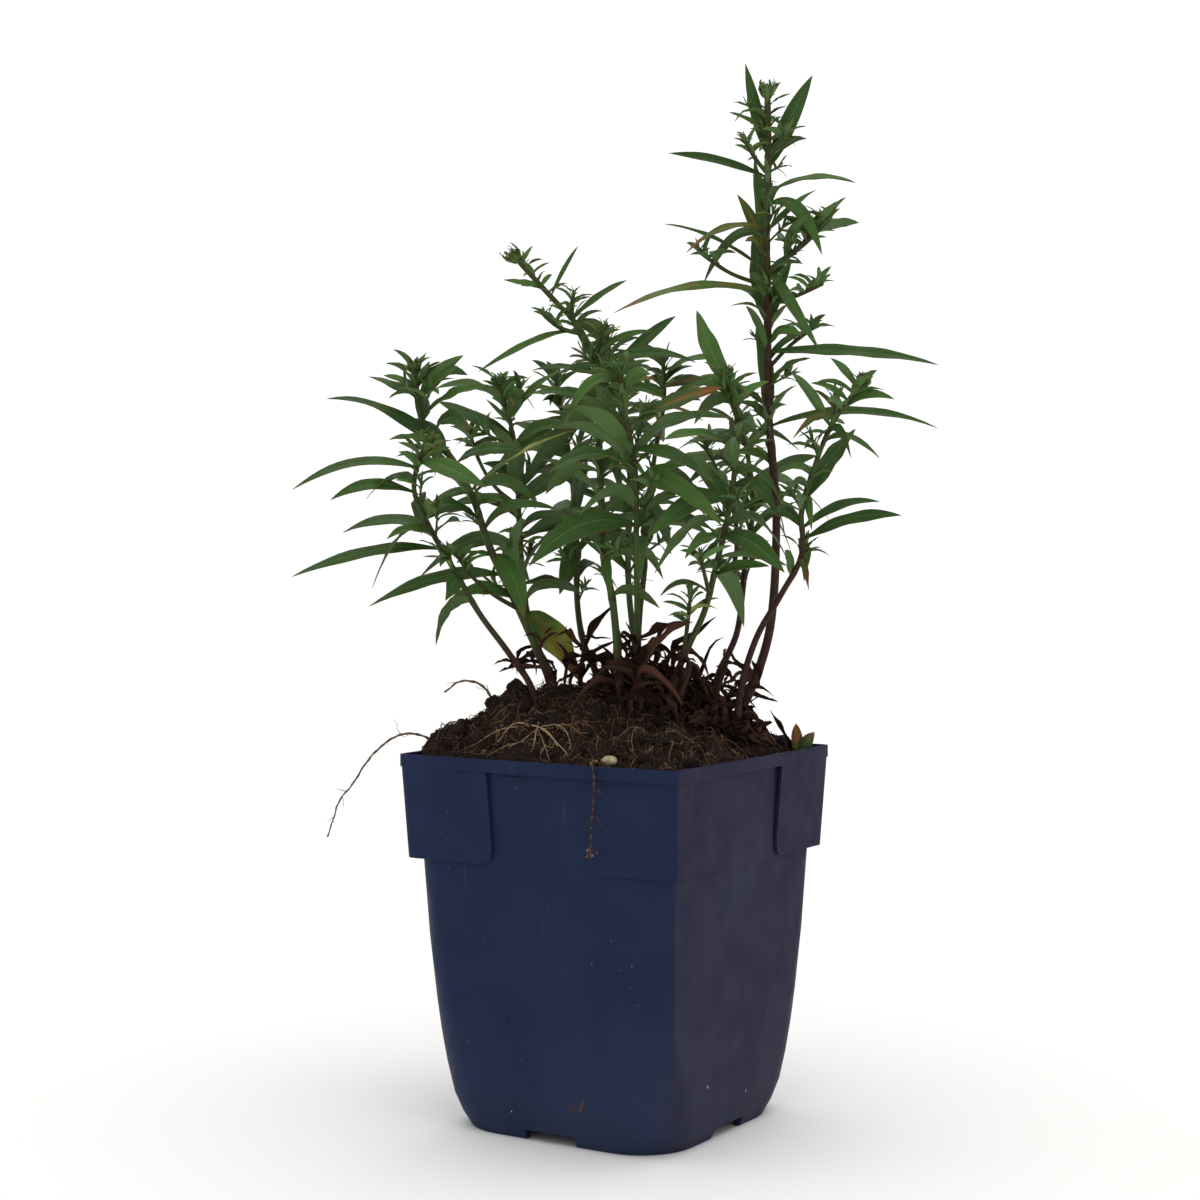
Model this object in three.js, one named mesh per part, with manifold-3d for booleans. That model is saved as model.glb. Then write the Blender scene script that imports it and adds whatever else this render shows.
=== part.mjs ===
// Potted aster: a leafy garden perennial in a square nursery pot.
// Millimetres, +Z up. The origin is the middle of the pot's base, and the pot's sides face X and Y.
import * as THREE from 'three';
import { mergeVertices } from 'three/addons/utils/BufferGeometryUtils.js';
import Module from 'manifold-3d';

const wasm = await Module();
wasm.setup();

// Pot sizes
const RIM_SIDE = 110;
const RIM_HEIGHT = 129;
const RIM_BAND = 4.4;
const RIM_WALL = 1.1;
const RIM_CORNER = 2.5;
const RIM_BOW = 0.7;
const LEDGE = 1.2;
const WALL = 1.4;
const BASE_WALL = 2;
const FLOOR_UNDER = 3.6;
const FLOOR_TOP = 5.2;
const CENTRE_FOOT_RADIUS = 12;
const NOTCH_WIDTH = 20;
const NOTCH_DEPTH = 24;
const DRAIN_RADIUS = 4;
const DRAIN_OUT = 30;
const SKIRT_FOOT = 93.4;
const SKIRT_WIDTH = 36;
const SKIRT_DRAW_IN = 1.8;
const SKIRT_WALL = 1.2;
const SKIRT_ROUND = 5;
const INSIDE_EVERY = 2;
const CORNER_STEPS = 4;
const SMALLEST_CORNER = 1.5;
const DRAIN_SIDES = 10;
const FOOT_SIDES = 20;
const CUT_PAST = 1;
const MASK_DEPTH = 20;
const MASK_PAST = 5;
const PANEL_RELIEF = 0.5;
const PANEL_SHORT = 32;
const PANEL_LONG = 67;

// The pot's outside from the ground up: height, half width, radius of the two crisp corners
// at the front and back, and radius of the two soft corners at the sides
const POT_BODY = [
  [0, 42.6, 20, 20],
  [5, 44.8, 20, 20],
  [12, 46.8, 19, 19.5],
  [22, 48.3, 16, 19],
  [33, 49.4, 8, 18],
  [44, 50.2, 4, 17],
  [66, 51.1, 3.4, 14],
  [93, 52, 3, 12],
  [126, 53.1, 3, 10],
];

// Soil sizes. The skyline is the top of the heap as seen from the front: across, up.
const SOIL_GAP = 0.3;
const SOIL_EDGE = 125.6;
const SOIL_FRONT = { rise: 1.8, from: 15, over: 40 };
const SOIL_SLOPE = 10;
const SOIL_SKYLINE = [
  [-80, 128],
  [-68, 137.5],
  [-49, 140.5],
  [-35, 149],
  [-8, 150],
  [16, 144.5],
  [43, 133.5],
  [76, 127],
];
const SOIL_PEAK_DEPTH = 4;
const SOIL_REACH = 60;
const SOIL_RINGS = 9;
const SOIL_ROUND = 0.86;
const SOIL_CRUMB = 1.6;
const SOIL_CORNER = 1.3;

// How the plant was seen: the eye's place, and the turn of the pot to it
const EYE_ACROSS = -6.5;
const EYE_BACK = 774;
const EYE_UP = 202;
const VIEW_TURN = THREE.MathUtils.degToRad(32.2);

// Plant sizes
const HOLE_GAP = 0.4;
const FOOT_DEPTH = 11;
const STEM_SIDES = 4;
const TWIG_SIDES = 3;
const STEM_STEP = 16;
const TWIG_STEP = 13;
const BLADE_THICK = 0.9;
const BLADE_FOLD = 0.22;
const TILT = [0.5, 1.1];
const TUFT_WIDTH = 0.21;
const DEAD_WIDTH = 0.2;
const TUFT_DROOP = 26;
const TUFT_STEP = 1.7;
const BUD_SIZE = 3.6;
const BUD_SHAPE = [[0.25, 0.9], [0.65, 1], [1, 0.35]];
const CLEARANCE = 0.5;
const ROOT_STEP = 7;
const ROOT_GAP = 1;
const ROOT_RADIUS = [0.5, 0.32];
const ARCH_RADIUS = [0.6, 0.4];
const SPREAD_RADIUS = [0.55, 0.35];
const ROOT_START = 123;
const HANGING_DEPTH = -15;
const ARCH_DEPTH = -4;
const SPREAD_KNOT = [-27.5, -33];
const SPREAD = [[-52, -24.5], [-41, -30], [-29, -41], [-16.5, -46.5], [-20.5, -40]];
const PEBBLE = [5.6, 4.4, 3.4];
const SMALLEST_STEP = 0.02;
const DEPTH_TRIES = [0, 7, -7, 14, -14, 21, -21, 28, -28];
const BEND_TRIES = [0, 0.45, -0.45, 0.9, -0.9, 1.35, -1.35];
const CURVE_STEPS = 8;
const LARGE_KEY_LEAF = 24;
const LARGE_SPIRAL_LEAF = 30;
const MIDDLE_OF_KEY_LEAF = 0.45;
const MIDDLE_OF_SPRUNG_LEAF = 0.52;
const TURN_SPREAD = 1.3;
const SPRING_RISE = [34, 74];
const SPRING_DROP = [10, 72];
const SPRING_LENGTH = [0.55, 1.25];
const SPRING_WIDTH = [0.55, 0.88];
const SPRING_MISSES = 0.12;
const TUFT_LENGTH = [0.72, 1.1];
const AXIL_TUFT = { count: 3, size: 13, low: [15, 55], high: [30, 70] };
const AXIL_STEP = 2.5;
const CROWN_LOW = [24, 56];
const CROWN_HIGH = [60, 84];
const DEAD_RISE = [-35, 75];
const BARE_TIP = 5;
const LEAF_ABOVE_SOIL = 1.6;
const LEAF_ROUNDS = 24;
const GOLDEN_TURN = THREE.MathUtils.degToRad(137.5);
const LOWEST_BLADE = 131;

const UP = new THREE.Vector3(0, 0, 1);
const ACROSS = new THREE.Vector3(Math.cos(VIEW_TURN), Math.sin(VIEW_TURN), 0);
const AWAY = new THREE.Vector3(-Math.sin(VIEW_TURN), Math.cos(VIEW_TURN), 0);

// Random numbers that come out the same on every run
function seeded(seed) {
  let state = seed;
  return () => {
    state = (state * 16807) % 2147483647;
    return state / 2147483647;
  };
}

function mix(a, b, share) {
  return a + (b - a) * share;
}

// A point given as seen from the front, in the plane through the pot's axis,
// then pushed back along its line of sight by a depth
function seen(across, up, depth) {
  const reach = 1 + depth / EYE_BACK;
  const x = EYE_ACROSS + (across - EYE_ACROSS) * reach;
  const z = EYE_UP + (up - EYE_UP) * reach;
  return new THREE.Vector3(x, depth, z).applyAxisAngle(UP, VIEW_TURN);
}

// Solids from closed geometries, and back

function solidOf(geometry) {
  const bare = geometry.clone();
  bare.deleteAttribute('normal');
  bare.deleteAttribute('uv');
  const merged = mergeVertices(bare, 1e-4);
  return new wasm.Manifold(new wasm.Mesh({
    numProp: 3,
    vertProperties: new Float32Array(merged.attributes.position.array),
    triVerts: new Uint32Array(merged.index.array),
  }));
}

function geometryOf(solid) {
  const mesh = solid.getMesh();
  const geometry = new THREE.BufferGeometry();
  geometry.setAttribute('position', new THREE.BufferAttribute(mesh.vertProperties, 3));
  geometry.setIndex(new THREE.BufferAttribute(mesh.triVerts, 1));
  return geometry;
}

function joined(solids) {
  return wasm.Manifold.union(solids);
}

// A closed skin over rings of points. Each end is flat, or runs out to a point of its own.
// The diagonals mirror from column to column, so that a thin blade is split alike on its faces.
function skinned(rings, { root = null, tip = null } = {}) {
  const count = rings[0].length;
  const points = rings.flat();
  const faces = [];
  for (let i = 0; i + 1 < rings.length; i++) {
    for (let j = 0; j < count; j++) {
      const next = (j + 1) % count;
      const [a, b] = [i * count + j, i * count + next];
      const [c, d] = [a + count, b + count];
      faces.push(...(j % 2 ? [a, b, c, b, d, c] : [a, b, d, a, d, c]));
    }
  }
  const top = (rings.length - 1) * count;
  for (let j = 1; j + 1 < count && !root; j++) {
    faces.push(0, j + 1, j);
  }
  for (let j = 1; j + 1 < count && !tip; j++) {
    faces.push(top, top + j, top + j + 1);
  }
  for (let j = 0; j < count; j++) {
    const next = (j + 1) % count;
    if (root) {
      faces.push(points.length, next, j);
    }
    if (tip) {
      faces.push(top + j, top + next, points.length + (root ? 1 : 0));
    }
  }
  points.push(...[root, tip].filter(Boolean));
  const geometry = new THREE.BufferGeometry().setFromPoints(points);
  geometry.setIndex(faces);
  return geometry;
}

// Pot

// One level of the pot: a square with its own radius on each pair of opposite corners
function squareRing(up, half, crisp, soft, bow = 0) {
  const corners = [
    [1, -1, crisp],
    [1, 1, soft],
    [-1, 1, crisp],
    [-1, -1, soft],
  ];
  const ring = [];
  corners.forEach(([sx, sy, radius], quarter) => {
    const start = (quarter - 1) * Math.PI / 2;
    for (let i = 0; i <= CORNER_STEPS; i++) {
      const angle = start + i * Math.PI / 2 / CORNER_STEPS;
      const x = sx * (half - radius) + radius * Math.cos(angle);
      const y = sy * (half - radius) + radius * Math.sin(angle);
      ring.push(new THREE.Vector3(x, y, up));
    }
    if (bow) {
      const angle = start + Math.PI / 2;
      ring.push(new THREE.Vector3(Math.cos(angle), Math.sin(angle), 0)
        .multiplyScalar(half + bow).setZ(up));
    }
  });
  return ring;
}

function bodyAt(up) {
  const found = POT_BODY.findIndex((level) => level[0] >= up);
  const above = found < 0 ? POT_BODY.length - 1 : Math.max(1, found);
  const [low, high] = [POT_BODY[above - 1], POT_BODY[above]];
  const share = (up - low[0]) / (high[0] - low[0]);
  return [up, ...low.slice(1).map((value, i) => mix(value, high[i + 1], share))];
}

// The levels of the pot's outside between two heights, every one of them or only some
function levelsBetween(bottom, top, every) {
  return POT_BODY.filter(([up], i) => i % every === 0 && up > bottom + 0.5 && up < top - 0.5);
}

// The pot's outside between two heights, drawn in by an offset
function bodySolid(bottom, top, inset, every = 1) {
  const levels = [bodyAt(bottom), ...levelsBetween(bottom, top, every), bodyAt(top)];
  const rings = levels.map(([up, half, crisp, soft]) => squareRing(
    up, half - inset, Math.max(crisp - inset, SMALLEST_CORNER), Math.max(soft - inset, SMALLEST_CORNER)));
  return solidOf(skinned(rings));
}

function boxSolid(x, y, z, place) {
  return solidOf(new THREE.BoxGeometry(x, y, z).translate(...place));
}

function discSolid(radius, bottom, top, sides, x = 0, y = 0) {
  const disc = new THREE.CylinderGeometry(radius, radius, top - bottom, sides);
  return solidOf(disc.rotateX(Math.PI / 2).translate(x, y, (bottom + top) / 2));
}

function rim() {
  const half = RIM_SIDE / 2;
  const bottom = RIM_HEIGHT - RIM_BAND;
  const top = bodyAt(bottom);
  const outer = solidOf(skinned([
    squareRing(bottom, half, RIM_CORNER, RIM_CORNER, RIM_BOW),
    squareRing(RIM_HEIGHT, half, RIM_CORNER, RIM_CORNER, RIM_BOW),
  ]));
  const mouth = solidOf(skinned([
    squareRing(bottom + LEDGE, half - RIM_WALL, RIM_CORNER - 1, RIM_CORNER - 1, RIM_BOW),
    squareRing(RIM_HEIGHT + CUT_PAST, half - RIM_WALL, RIM_CORNER - 1, RIM_CORNER - 1, RIM_BOW),
  ]));
  const throat = solidOf(skinned([
    squareRing(bottom - CUT_PAST, top[1] - WALL, top[2] - WALL, top[3] - WALL),
    squareRing(bottom + 2 * LEDGE, top[1] - WALL, top[2] - WALL, top[3] - WALL),
  ]));
  return outer.subtract(mouth).subtract(throat);
}

// The outline of one leg of a corner skirt: flat below the rim, its free lower corner rounded
function skirtMask(width, mirrored) {
  const top = RIM_HEIGHT - RIM_BAND + LEDGE / 2;
  const outline = new THREE.Shape();
  outline.moveTo(-RIM_SIDE / 2 - MASK_PAST, top);
  outline.lineTo(-RIM_SIDE / 2 - MASK_PAST, SKIRT_FOOT);
  outline.lineTo(-RIM_SIDE / 2 + width - SKIRT_ROUND, SKIRT_FOOT);
  outline.absarc(-RIM_SIDE / 2 + width - SKIRT_ROUND, SKIRT_FOOT + SKIRT_ROUND, SKIRT_ROUND,
    -Math.PI / 2, 0, false);
  outline.lineTo(-RIM_SIDE / 2 + width, top);
  const settings = { depth: MASK_DEPTH, bevelEnabled: false, curveSegments: 3 };
  const leg = new THREE.ExtrudeGeometry(outline, settings);
  leg.rotateX(Math.PI / 2).translate(0, -RIM_SIDE / 2 + MASK_DEPTH - MASK_PAST, 0);
  const solid = solidOf(leg);
  return mirrored ? solid.mirror([1, -1, 0]) : solid;
}

// The thin skirts that hang from the rim round the two soft corners, clear of the wall
function skirts() {
  const half = RIM_SIDE / 2;
  const top = RIM_HEIGHT - RIM_BAND + LEDGE / 2;
  const band = (inset) => solidOf(skinned([
    squareRing(SKIRT_FOOT - inset, half - SKIRT_DRAW_IN - inset, RIM_CORNER, RIM_CORNER + 1 - inset),
    squareRing(top + inset, half - inset, RIM_CORNER, RIM_CORNER + 1 - inset),
  ]));
  const sheet = band(0).subtract(band(SKIRT_WALL));
  const corner = joined([skirtMask(SKIRT_WIDTH, false), skirtMask(SKIRT_WIDTH, true)]);
  const left = sheet.intersect(corner);
  return joined([left, left.rotate([0, 0, 180])]);
}

// The flat raised panels that wrap the two crisp corners
function panels() {
  const top = RIM_HEIGHT - RIM_BAND + LEDGE / 2;
  const raised = bodySolid(SKIRT_FOOT, top, -PANEL_RELIEF);
  const height = top - SKIRT_FOOT + 4 * CUT_PAST;
  const middle = (top + SKIRT_FOOT) / 2;
  const half = RIM_SIDE / 2;
  const inner = half - MASK_PAST;
  const left = boxSolid(PANEL_SHORT, MASK_DEPTH, height, [half - PANEL_SHORT / 2, -inner, middle]);
  const right = boxSolid(MASK_DEPTH, PANEL_LONG, height, [inner, -half + PANEL_LONG / 2, middle]);
  const near = raised.intersect(joined([left, right]));
  return joined([near, near.rotate([0, 0, 180])]);
}

// Drain holes near the middle of each side, and the notches that let the water out
function drains() {
  const half = RIM_SIDE / 2;
  const cuts = [0, 90, 180, 270].map((turn) => {
    const notch = boxSolid(NOTCH_WIDTH, NOTCH_DEPTH, 2 * FLOOR_UNDER, [0, -half + MASK_PAST, 0]);
    const [low, high] = [FLOOR_UNDER - CUT_PAST, FLOOR_TOP + CUT_PAST];
    const hole = discSolid(DRAIN_RADIUS, low, high, DRAIN_SIDES, 0, -DRAIN_OUT);
    return joined([notch, hole]).rotate([0, 0, turn]);
  });
  return joined(cuts);
}

function potSolid() {
  const top = RIM_HEIGHT - RIM_BAND + LEDGE / 2;
  const mouth = bodySolid(FLOOR_TOP, RIM_HEIGHT + CUT_PAST, WALL, INSIDE_EVERY);
  const shell = bodySolid(0, top, 0)
    .subtract(mouth)
    .subtract(bodySolid(0, FLOOR_UNDER, BASE_WALL));
  const trim = joined([panels(), rim(), skirts()]).subtract(mouth);
  const foot = discSolid(CENTRE_FOOT_RADIUS, 0, FLOOR_UNDER + 0.5, FOOT_SIDES);
  return joined([shell, trim, foot]).subtract(drains());
}

// Soil

// Height of the soil's top: a heap with small lumps, lowest along the pot's wall
function soilTop(x, y) {
  const across = x * Math.cos(VIEW_TURN) + y * Math.sin(VIEW_TURN);
  const depth = y * Math.cos(VIEW_TURN) - x * Math.sin(VIEW_TURN);
  const next = Math.max(1, SOIL_SKYLINE.findIndex((point) => point[0] >= across));
  const [low, high] = [SOIL_SKYLINE[next - 1], SOIL_SKYLINE[next]];
  const crest = mix(low[1], high[1], (across - low[0]) / (high[0] - low[0])) - SOIL_EDGE;
  const away = Math.min(1, Math.abs(depth - SOIL_PEAK_DEPTH) / SOIL_REACH);
  const lumps = 1.3 * Math.sin(x * 0.21 + 1.1) * Math.cos(y * 0.19 - 0.6)
    + 0.8 * Math.sin(x * 0.47 - y * 0.39 + 2.3);
  const inside = bodyAt(SOIL_EDGE)[1] - WALL - Math.max(Math.abs(x), Math.abs(y));
  const rise = Math.sqrt(Math.min(1, Math.max(0, inside / SOIL_SLOPE)));
  const front = Math.min(1, Math.max(0, -(depth + SOIL_FRONT.from) / SOIL_FRONT.over));
  return SOIL_EDGE + SOIL_FRONT.rise * front + (crest * Math.cos(away * Math.PI / 2) + lumps) * rise;
}

function soilBody() {
  const inset = WALL + SOIL_GAP;
  const random = seeded(411);
  const wall = (up) => {
    const [, half, crisp, soft] = bodyAt(up);
    return squareRing(
      up, half - inset, Math.max(crisp - inset, SOIL_CORNER), Math.max(soft - inset, SOIL_CORNER));
  };
  const levels = levelsBetween(FLOOR_TOP, SOIL_EDGE, INSIDE_EVERY).map(([up]) => up);
  const rings = [FLOOR_TOP + SOIL_GAP, ...levels].map(wall);
  const edge = wall(SOIL_EDGE);
  const round = edge[0].length() * SOIL_ROUND;
  for (let i = 0; i < SOIL_RINGS; i++) {
    const share = 1 - i / SOIL_RINGS;
    rings.push(edge.map((p) => {
      const circle = p.clone().setZ(0).setLength(round * share);
      const { x, y } = p.clone().setZ(0).multiplyScalar(share).lerp(circle, 1 - share);
      const crumb = i ? SOIL_CRUMB * (random() - 0.5) : 0;
      return new THREE.Vector3(x, y, soilTop(x, y) + crumb);
    }));
  }
  const peak = new THREE.Vector3(0, 0, soilTop(0, 0));
  return solidOf(skinned(rings, { tip: peak }));
}

// Stems and blades: both are a row of stations, each with a place, a side and an outward way

// A tapered round stem along a line of points
function stemStations(points, thick, thin) {
  const last = points.length - 1;
  let side = new THREE.Vector3(1, 0, 0);
  return points.map((at, i) => {
    const along = points[Math.min(i + 1, last)].clone().sub(points[Math.max(i - 1, 0)]).normalize();
    side = side.clone().addScaledVector(along, -side.dot(along)).normalize();
    const radius = mix(thick, thin, i / last);
    const out = side.clone().cross(along);
    return { at, along, side: side.clone(), out, half: radius, thick: radius, lift: 0 };
  });
}

// Shapes of a blade between its pointed ends: share of its length, and of its width.
// The large ones have a ridge along the top too, the others only the keel below.
const BLADE_SHAPES = {
  large: [[0.2, 0.72], [0.47, 1], [0.76, 0.6]],
  middle: [[0.3, 0.92], [0.66, 0.8]],
  small: [[0.4, 1]],
};

// A narrow leaf on an arched midrib from its root, by way of a middle point, to its tip
function bladeStations({ root, way, tip, width, roll, shape }) {
  const along = (t) => way.clone().sub(root).multiplyScalar(2 * (1 - t))
    .addScaledVector(tip.clone().sub(way), 2 * t).normalize();
  const place = (t) => root.clone().multiplyScalar((1 - t) ** 2)
    .addScaledVector(way, 2 * t * (1 - t)).addScaledVector(tip, t * t);
  const station = ([t, share]) => {
    const ahead = along(t);
    const level = ahead.clone().cross(UP).normalize();
    const raised = level.clone().cross(ahead);
    const side = level.clone().multiplyScalar(Math.cos(roll)).addScaledVector(raised, Math.sin(roll));
    const half = width * share / 2;
    return {
      at: place(t),
      along: ahead,
      side,
      out: side.clone().cross(ahead),
      half,
      thick: BLADE_THICK / 2,
      lift: BLADE_FOLD * half,
    };
  };
  return [[0, 0], ...BLADE_SHAPES[shape], [1, 0]].map(station);
}

function roundSolid(stations, sides, extra = 0) {
  const rings = stations.map(({ at, side, out, half }) => {
    const ring = [];
    for (let i = 0; i < sides; i++) {
      const angle = -i * 2 * Math.PI / sides;
      ring.push(at.clone().addScaledVector(side, (half + extra) * Math.cos(angle))
        .addScaledVector(out, (half + extra) * Math.sin(angle)));
    }
    return ring;
  });
  return solidOf(skinned(rings));
}

function bladeSolid(stations) {
  const ridged = stations.length > 4;
  const rings = stations.slice(1, -1).map(({ at, side, out, half, thick, lift }) => [
    ...(ridged ? [at.clone().addScaledVector(out, thick)] : []),
    at.clone().addScaledVector(side, half).addScaledVector(out, lift),
    at.clone().addScaledVector(out, -thick),
    at.clone().addScaledVector(side, -half).addScaledVector(out, lift),
  ]);
  return solidOf(skinned(rings, { root: stations[0].at, tip: stations[stations.length - 1].at }));
}

// What would cross: a thin box round each stretch between two stations

function boxesAlong(stations) {
  const boxes = [];
  for (let i = 0; i + 1 < stations.length; i++) {
    const [a, b] = [stations[i], stations[i + 1]];
    const along = b.at.clone().sub(a.at);
    const length = along.length();
    along.divideScalar(length);
    const side = a.side.clone().add(b.side);
    side.addScaledVector(along, -side.dot(along)).normalize();
    const out = side.clone().cross(along);
    const lift = Math.max(a.lift, b.lift) / 2;
    boxes.push({
      centre: a.at.clone().add(b.at).multiplyScalar(0.5).addScaledVector(out, lift),
      axes: [along, side, out],
      reach: [
        length / 2 + CLEARANCE / 2,
        Math.max(a.half, b.half) + CLEARANCE / 2,
        Math.max(a.thick, b.thick) + lift + CLEARANCE / 2,
      ],
    });
  }
  return boxes;
}

function boxesMeet(a, b) {
  const gap = b.centre.clone().sub(a.centre);
  const far = a.reach[0] + a.reach[1] + a.reach[2] + b.reach[0] + b.reach[1] + b.reach[2];
  if (gap.length() > far) {
    return false;
  }
  const tests = [...a.axes, ...b.axes];
  for (const one of a.axes) {
    for (const other of b.axes) {
      const cross = one.clone().cross(other);
      if (cross.lengthSq() > 1e-6) {
        tests.push(cross.normalize());
      }
    }
  }
  return tests.every((axis) => {
    const spread = (box) => box.axes.reduce(
      (sum, way, i) => sum + box.reach[i] * Math.abs(way.dot(axis)), 0);
    return Math.abs(gap.dot(axis)) <= spread(a) + spread(b);
  });
}

// The plant as it grows: every stem is put in first, then its leaves one after another,
// and a leaf that would cross another stem's growth is turned, then left out

const grown = [];

function isClear(owner, boxes) {
  return grown.every((other) => other.owner === owner
    || !other.boxes.some((box) => boxes.some((mine) => boxesMeet(mine, box))));
}

function keep(branch, kind, stations) {
  branch.owner.pieces.push({ kind, stations });
  grown.push({ owner: branch.owner, boxes: boxesAlong(stations) });
}

function isAboveSoil(stations) {
  return stations.every(({ at }, i) => i === 0
    || at.z > Math.max(soilTop(at.x, at.y) + LEAF_ABOVE_SOIL, LOWEST_BLADE));
}

function tryBlade(branch, kind, blade) {
  const stations = bladeStations(blade);
  if (!isAboveSoil(stations) || !isClear(branch.owner, boxesAlong(stations))) {
    return false;
  }
  keep(branch, kind, stations);
  return true;
}

// A line of straight stretches, with the length up to each of its points
function measured(points) {
  const lengths = [0];
  for (let i = 1; i < points.length; i++) {
    lengths.push(lengths[i - 1] + points[i].distanceTo(points[i - 1]));
  }
  return { points, lengths, length: lengths[lengths.length - 1] };
}

// The line that a stem or root follows: a smooth curve through its points, in even steps
function lineOf(points, step) {
  const curve = new THREE.CatmullRomCurve3(points, false, 'catmullrom', 0.5);
  const fine = measured(curve.getPoints((points.length - 1) * CURVE_STEPS));
  const count = Math.max(2, Math.round(fine.length / step));
  const even = Array.from({ length: count + 1 }, (_, i) => pointAt(fine, fine.length * i / count));
  return measured(even);
}

function pointAt(line, distance) {
  const wanted = Math.min(Math.max(distance, 0), line.length);
  const i = Math.max(1, line.lengths.findIndex((value) => value >= wanted));
  const share = (wanted - line.lengths[i - 1]) / (line.lengths[i] - line.lengths[i - 1]);
  return line.points[i - 1].clone().lerp(line.points[i], share);
}

function distanceAtHeight(line, up) {
  const i = line.points.findIndex((point) => point.z >= up);
  if (i < 1) {
    return i < 0 ? line.length : 0;
  }
  const [low, high] = [line.points[i - 1].z, line.points[i].z];
  return mix(line.lengths[i - 1], line.lengths[i], (up - low) / (high - low));
}

// A branch or a stem with its line settled
function branchOf(spec, owner, points, step) {
  const line = lineOf(points, step);
  const branch = { ...spec, owner, line, random: seeded(spec.seed), turn: 0 };
  branch.turn = branch.random() * 2 * Math.PI;
  return branch;
}

// The bud that ends a stem, as stations that carry the stem on
function budStations(end, size = BUD_SIZE) {
  return BUD_SHAPE.map(([along, share]) => ({
    ...end,
    at: end.at.clone().addScaledVector(end.along, along * size),
    half: share * size / 2,
    thick: share * size / 2,
  }));
}

function plantStem(spec) {
  const owner = { name: spec.name, pieces: [] };
  const [first, last] = [spec.route[0][1], spec.route[spec.route.length - 1][1]];
  const points = spec.route.map(([across, up]) => seen(
    across, up, mix(spec.depth[0], spec.depth[1], (up - first) / (last - first))));
  const foot = points[0].clone();
  foot.z = soilTop(foot.x, foot.y) - FOOT_DEPTH;
  points[0].z = soilTop(foot.x, foot.y) + 1;
  const branch = branchOf(spec, owner, [foot, ...points], STEM_STEP);
  const stations = stemStations(branch.line.points, spec.thick, spec.thin);
  owner.foot = stations.slice(0, 3);
  keep(branch, 'stem', [...stations, ...budStations(stations[stations.length - 1], spec.bud)]);
  const branches = [branch];
  (spec.shoots || []).forEach((shoot, i) => branches.push(plantShoot(shoot, branch, i)));
  return { owner, branches };
}

// A side shoot starts on its stem at a height, and runs out through its own points
function plantShoot(spec, stem, index) {
  const root = pointAt(stem.line, distanceAtHeight(stem.line, spec.from));
  const back = root.clone().applyAxisAngle(UP, -VIEW_TURN).y;
  const count = spec.route.length;
  const points = spec.route.map(([across, up], i) => seen(
    across, up, mix(back, spec.depth, (i + 1) / count)));
  const shoot = { thick: 1, thin: 0.7, ...spec, seed: stem.seed * 31 + index + 7 };
  const branch = branchOf(shoot, stem.owner, [root, ...points], TWIG_STEP);
  keep(branch, 'twig', stemStations(branch.line.points, shoot.thick, shoot.thin));
  return branch;
}

// Which way a leaf rolls to show a face: a steep one that comes nearer shows the lower one
function rollSign(root, tip) {
  const reach = tip.clone().sub(root);
  const steep = reach.z > Math.hypot(reach.x, reach.y);
  const hand = reach.dot(ACROSS) < 0 ? 1 : -1;
  return steep && reach.dot(AWAY) < 0 ? -hand : hand;
}

// The large leaves that give the plant its outline: height of the root on the stem, tip as
// seen, depth of the tip, width, and how far the middle bows up as a share of the length
function keyLeaves(branch) {
  (branch.leaves || []).forEach(([from, across, up, depth, width, bow]) => {
    const root = pointAt(branch.line, distanceAtHeight(branch.line, from));
    const tilt = mix(TILT[0], TILT[1], branch.random());
    DEPTH_TRIES.some((shift) => {
      const tip = seen(across, up, depth + shift);
      const roll = tilt * rollSign(root, tip);
      const length = tip.distanceTo(root);
      const way = root.clone().lerp(tip, MIDDLE_OF_KEY_LEAF).addScaledVector(UP, bow * length);
      const shape = length > LARGE_KEY_LEAF ? 'large' : 'middle';
      return tryBlade(branch, 'leaf', { root, way, tip, width, roll, shape });
    });
  });
}

function ways(turn, rise, length) {
  return new THREE.Vector3(
    Math.cos(turn) * Math.cos(rise) * length,
    Math.sin(turn) * Math.cos(rise) * length,
    Math.sin(rise) * length,
  );
}

// A leaf that springs at one angle and ends at another, tried at a few turns
function springLeaf(branch, kind, distance, { length, width, start, end, shape }) {
  const root = pointAt(branch.line, distance);
  const hand = branch.random() < 0.5 ? -1 : 1;
  const roll = hand * mix(TILT[0], TILT[1], branch.random());
  BEND_TRIES.some((bend) => {
    const turn = branch.turn + bend;
    const way = root.clone().add(ways(turn, start, length * MIDDLE_OF_SPRUNG_LEAF));
    const tip = root.clone().add(ways(turn, end, length));
    return tryBlade(branch, kind, { root, way, tip, width, roll, shape });
  });
}

// The leaves up a branch, in a spiral, longest at the middle
function spiralLeaf(branch, turnIndex) {
  const { growth, line, random } = branch;
  if (!growth) {
    return;
  }
  const begin = distanceAtHeight(line, growth.from);
  const last = Math.min(distanceAtHeight(line, growth.until ?? Infinity), line.length - BARE_TIP);
  const distance = begin + turnIndex * growth.gap;
  if (distance > last) {
    return;
  }
  const share = (distance - begin) / Math.max(line.length - begin, 1);
  const fullness = 0.62 + 0.38 * Math.sin(Math.PI * Math.min(1, share * 0.9 + 0.22));
  branch.turn += GOLDEN_TURN + TURN_SPREAD * (random() - 0.5);
  const length = growth.length * fullness * mix(...SPRING_LENGTH, random());
  const start = THREE.MathUtils.degToRad(mix(...SPRING_RISE, random()) + (growth.lean ?? 0));
  const drop = THREE.MathUtils.degToRad(mix(...SPRING_DROP, random()) * (growth.limp ?? 1));
  const width = growth.width * mix(...SPRING_WIDTH, random());
  if (random() > SPRING_MISSES) {
    const shape = length > LARGE_SPIRAL_LEAF ? 'large' : 'middle';
    springLeaf(branch, 'leaf', distance, { length, width, start, end: start - drop, shape });
  }
  if (random() < growth.tufts) {
    tuft(branch, 'young', distance + AXIL_STEP, AXIL_TUFT);
  }
}

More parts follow.
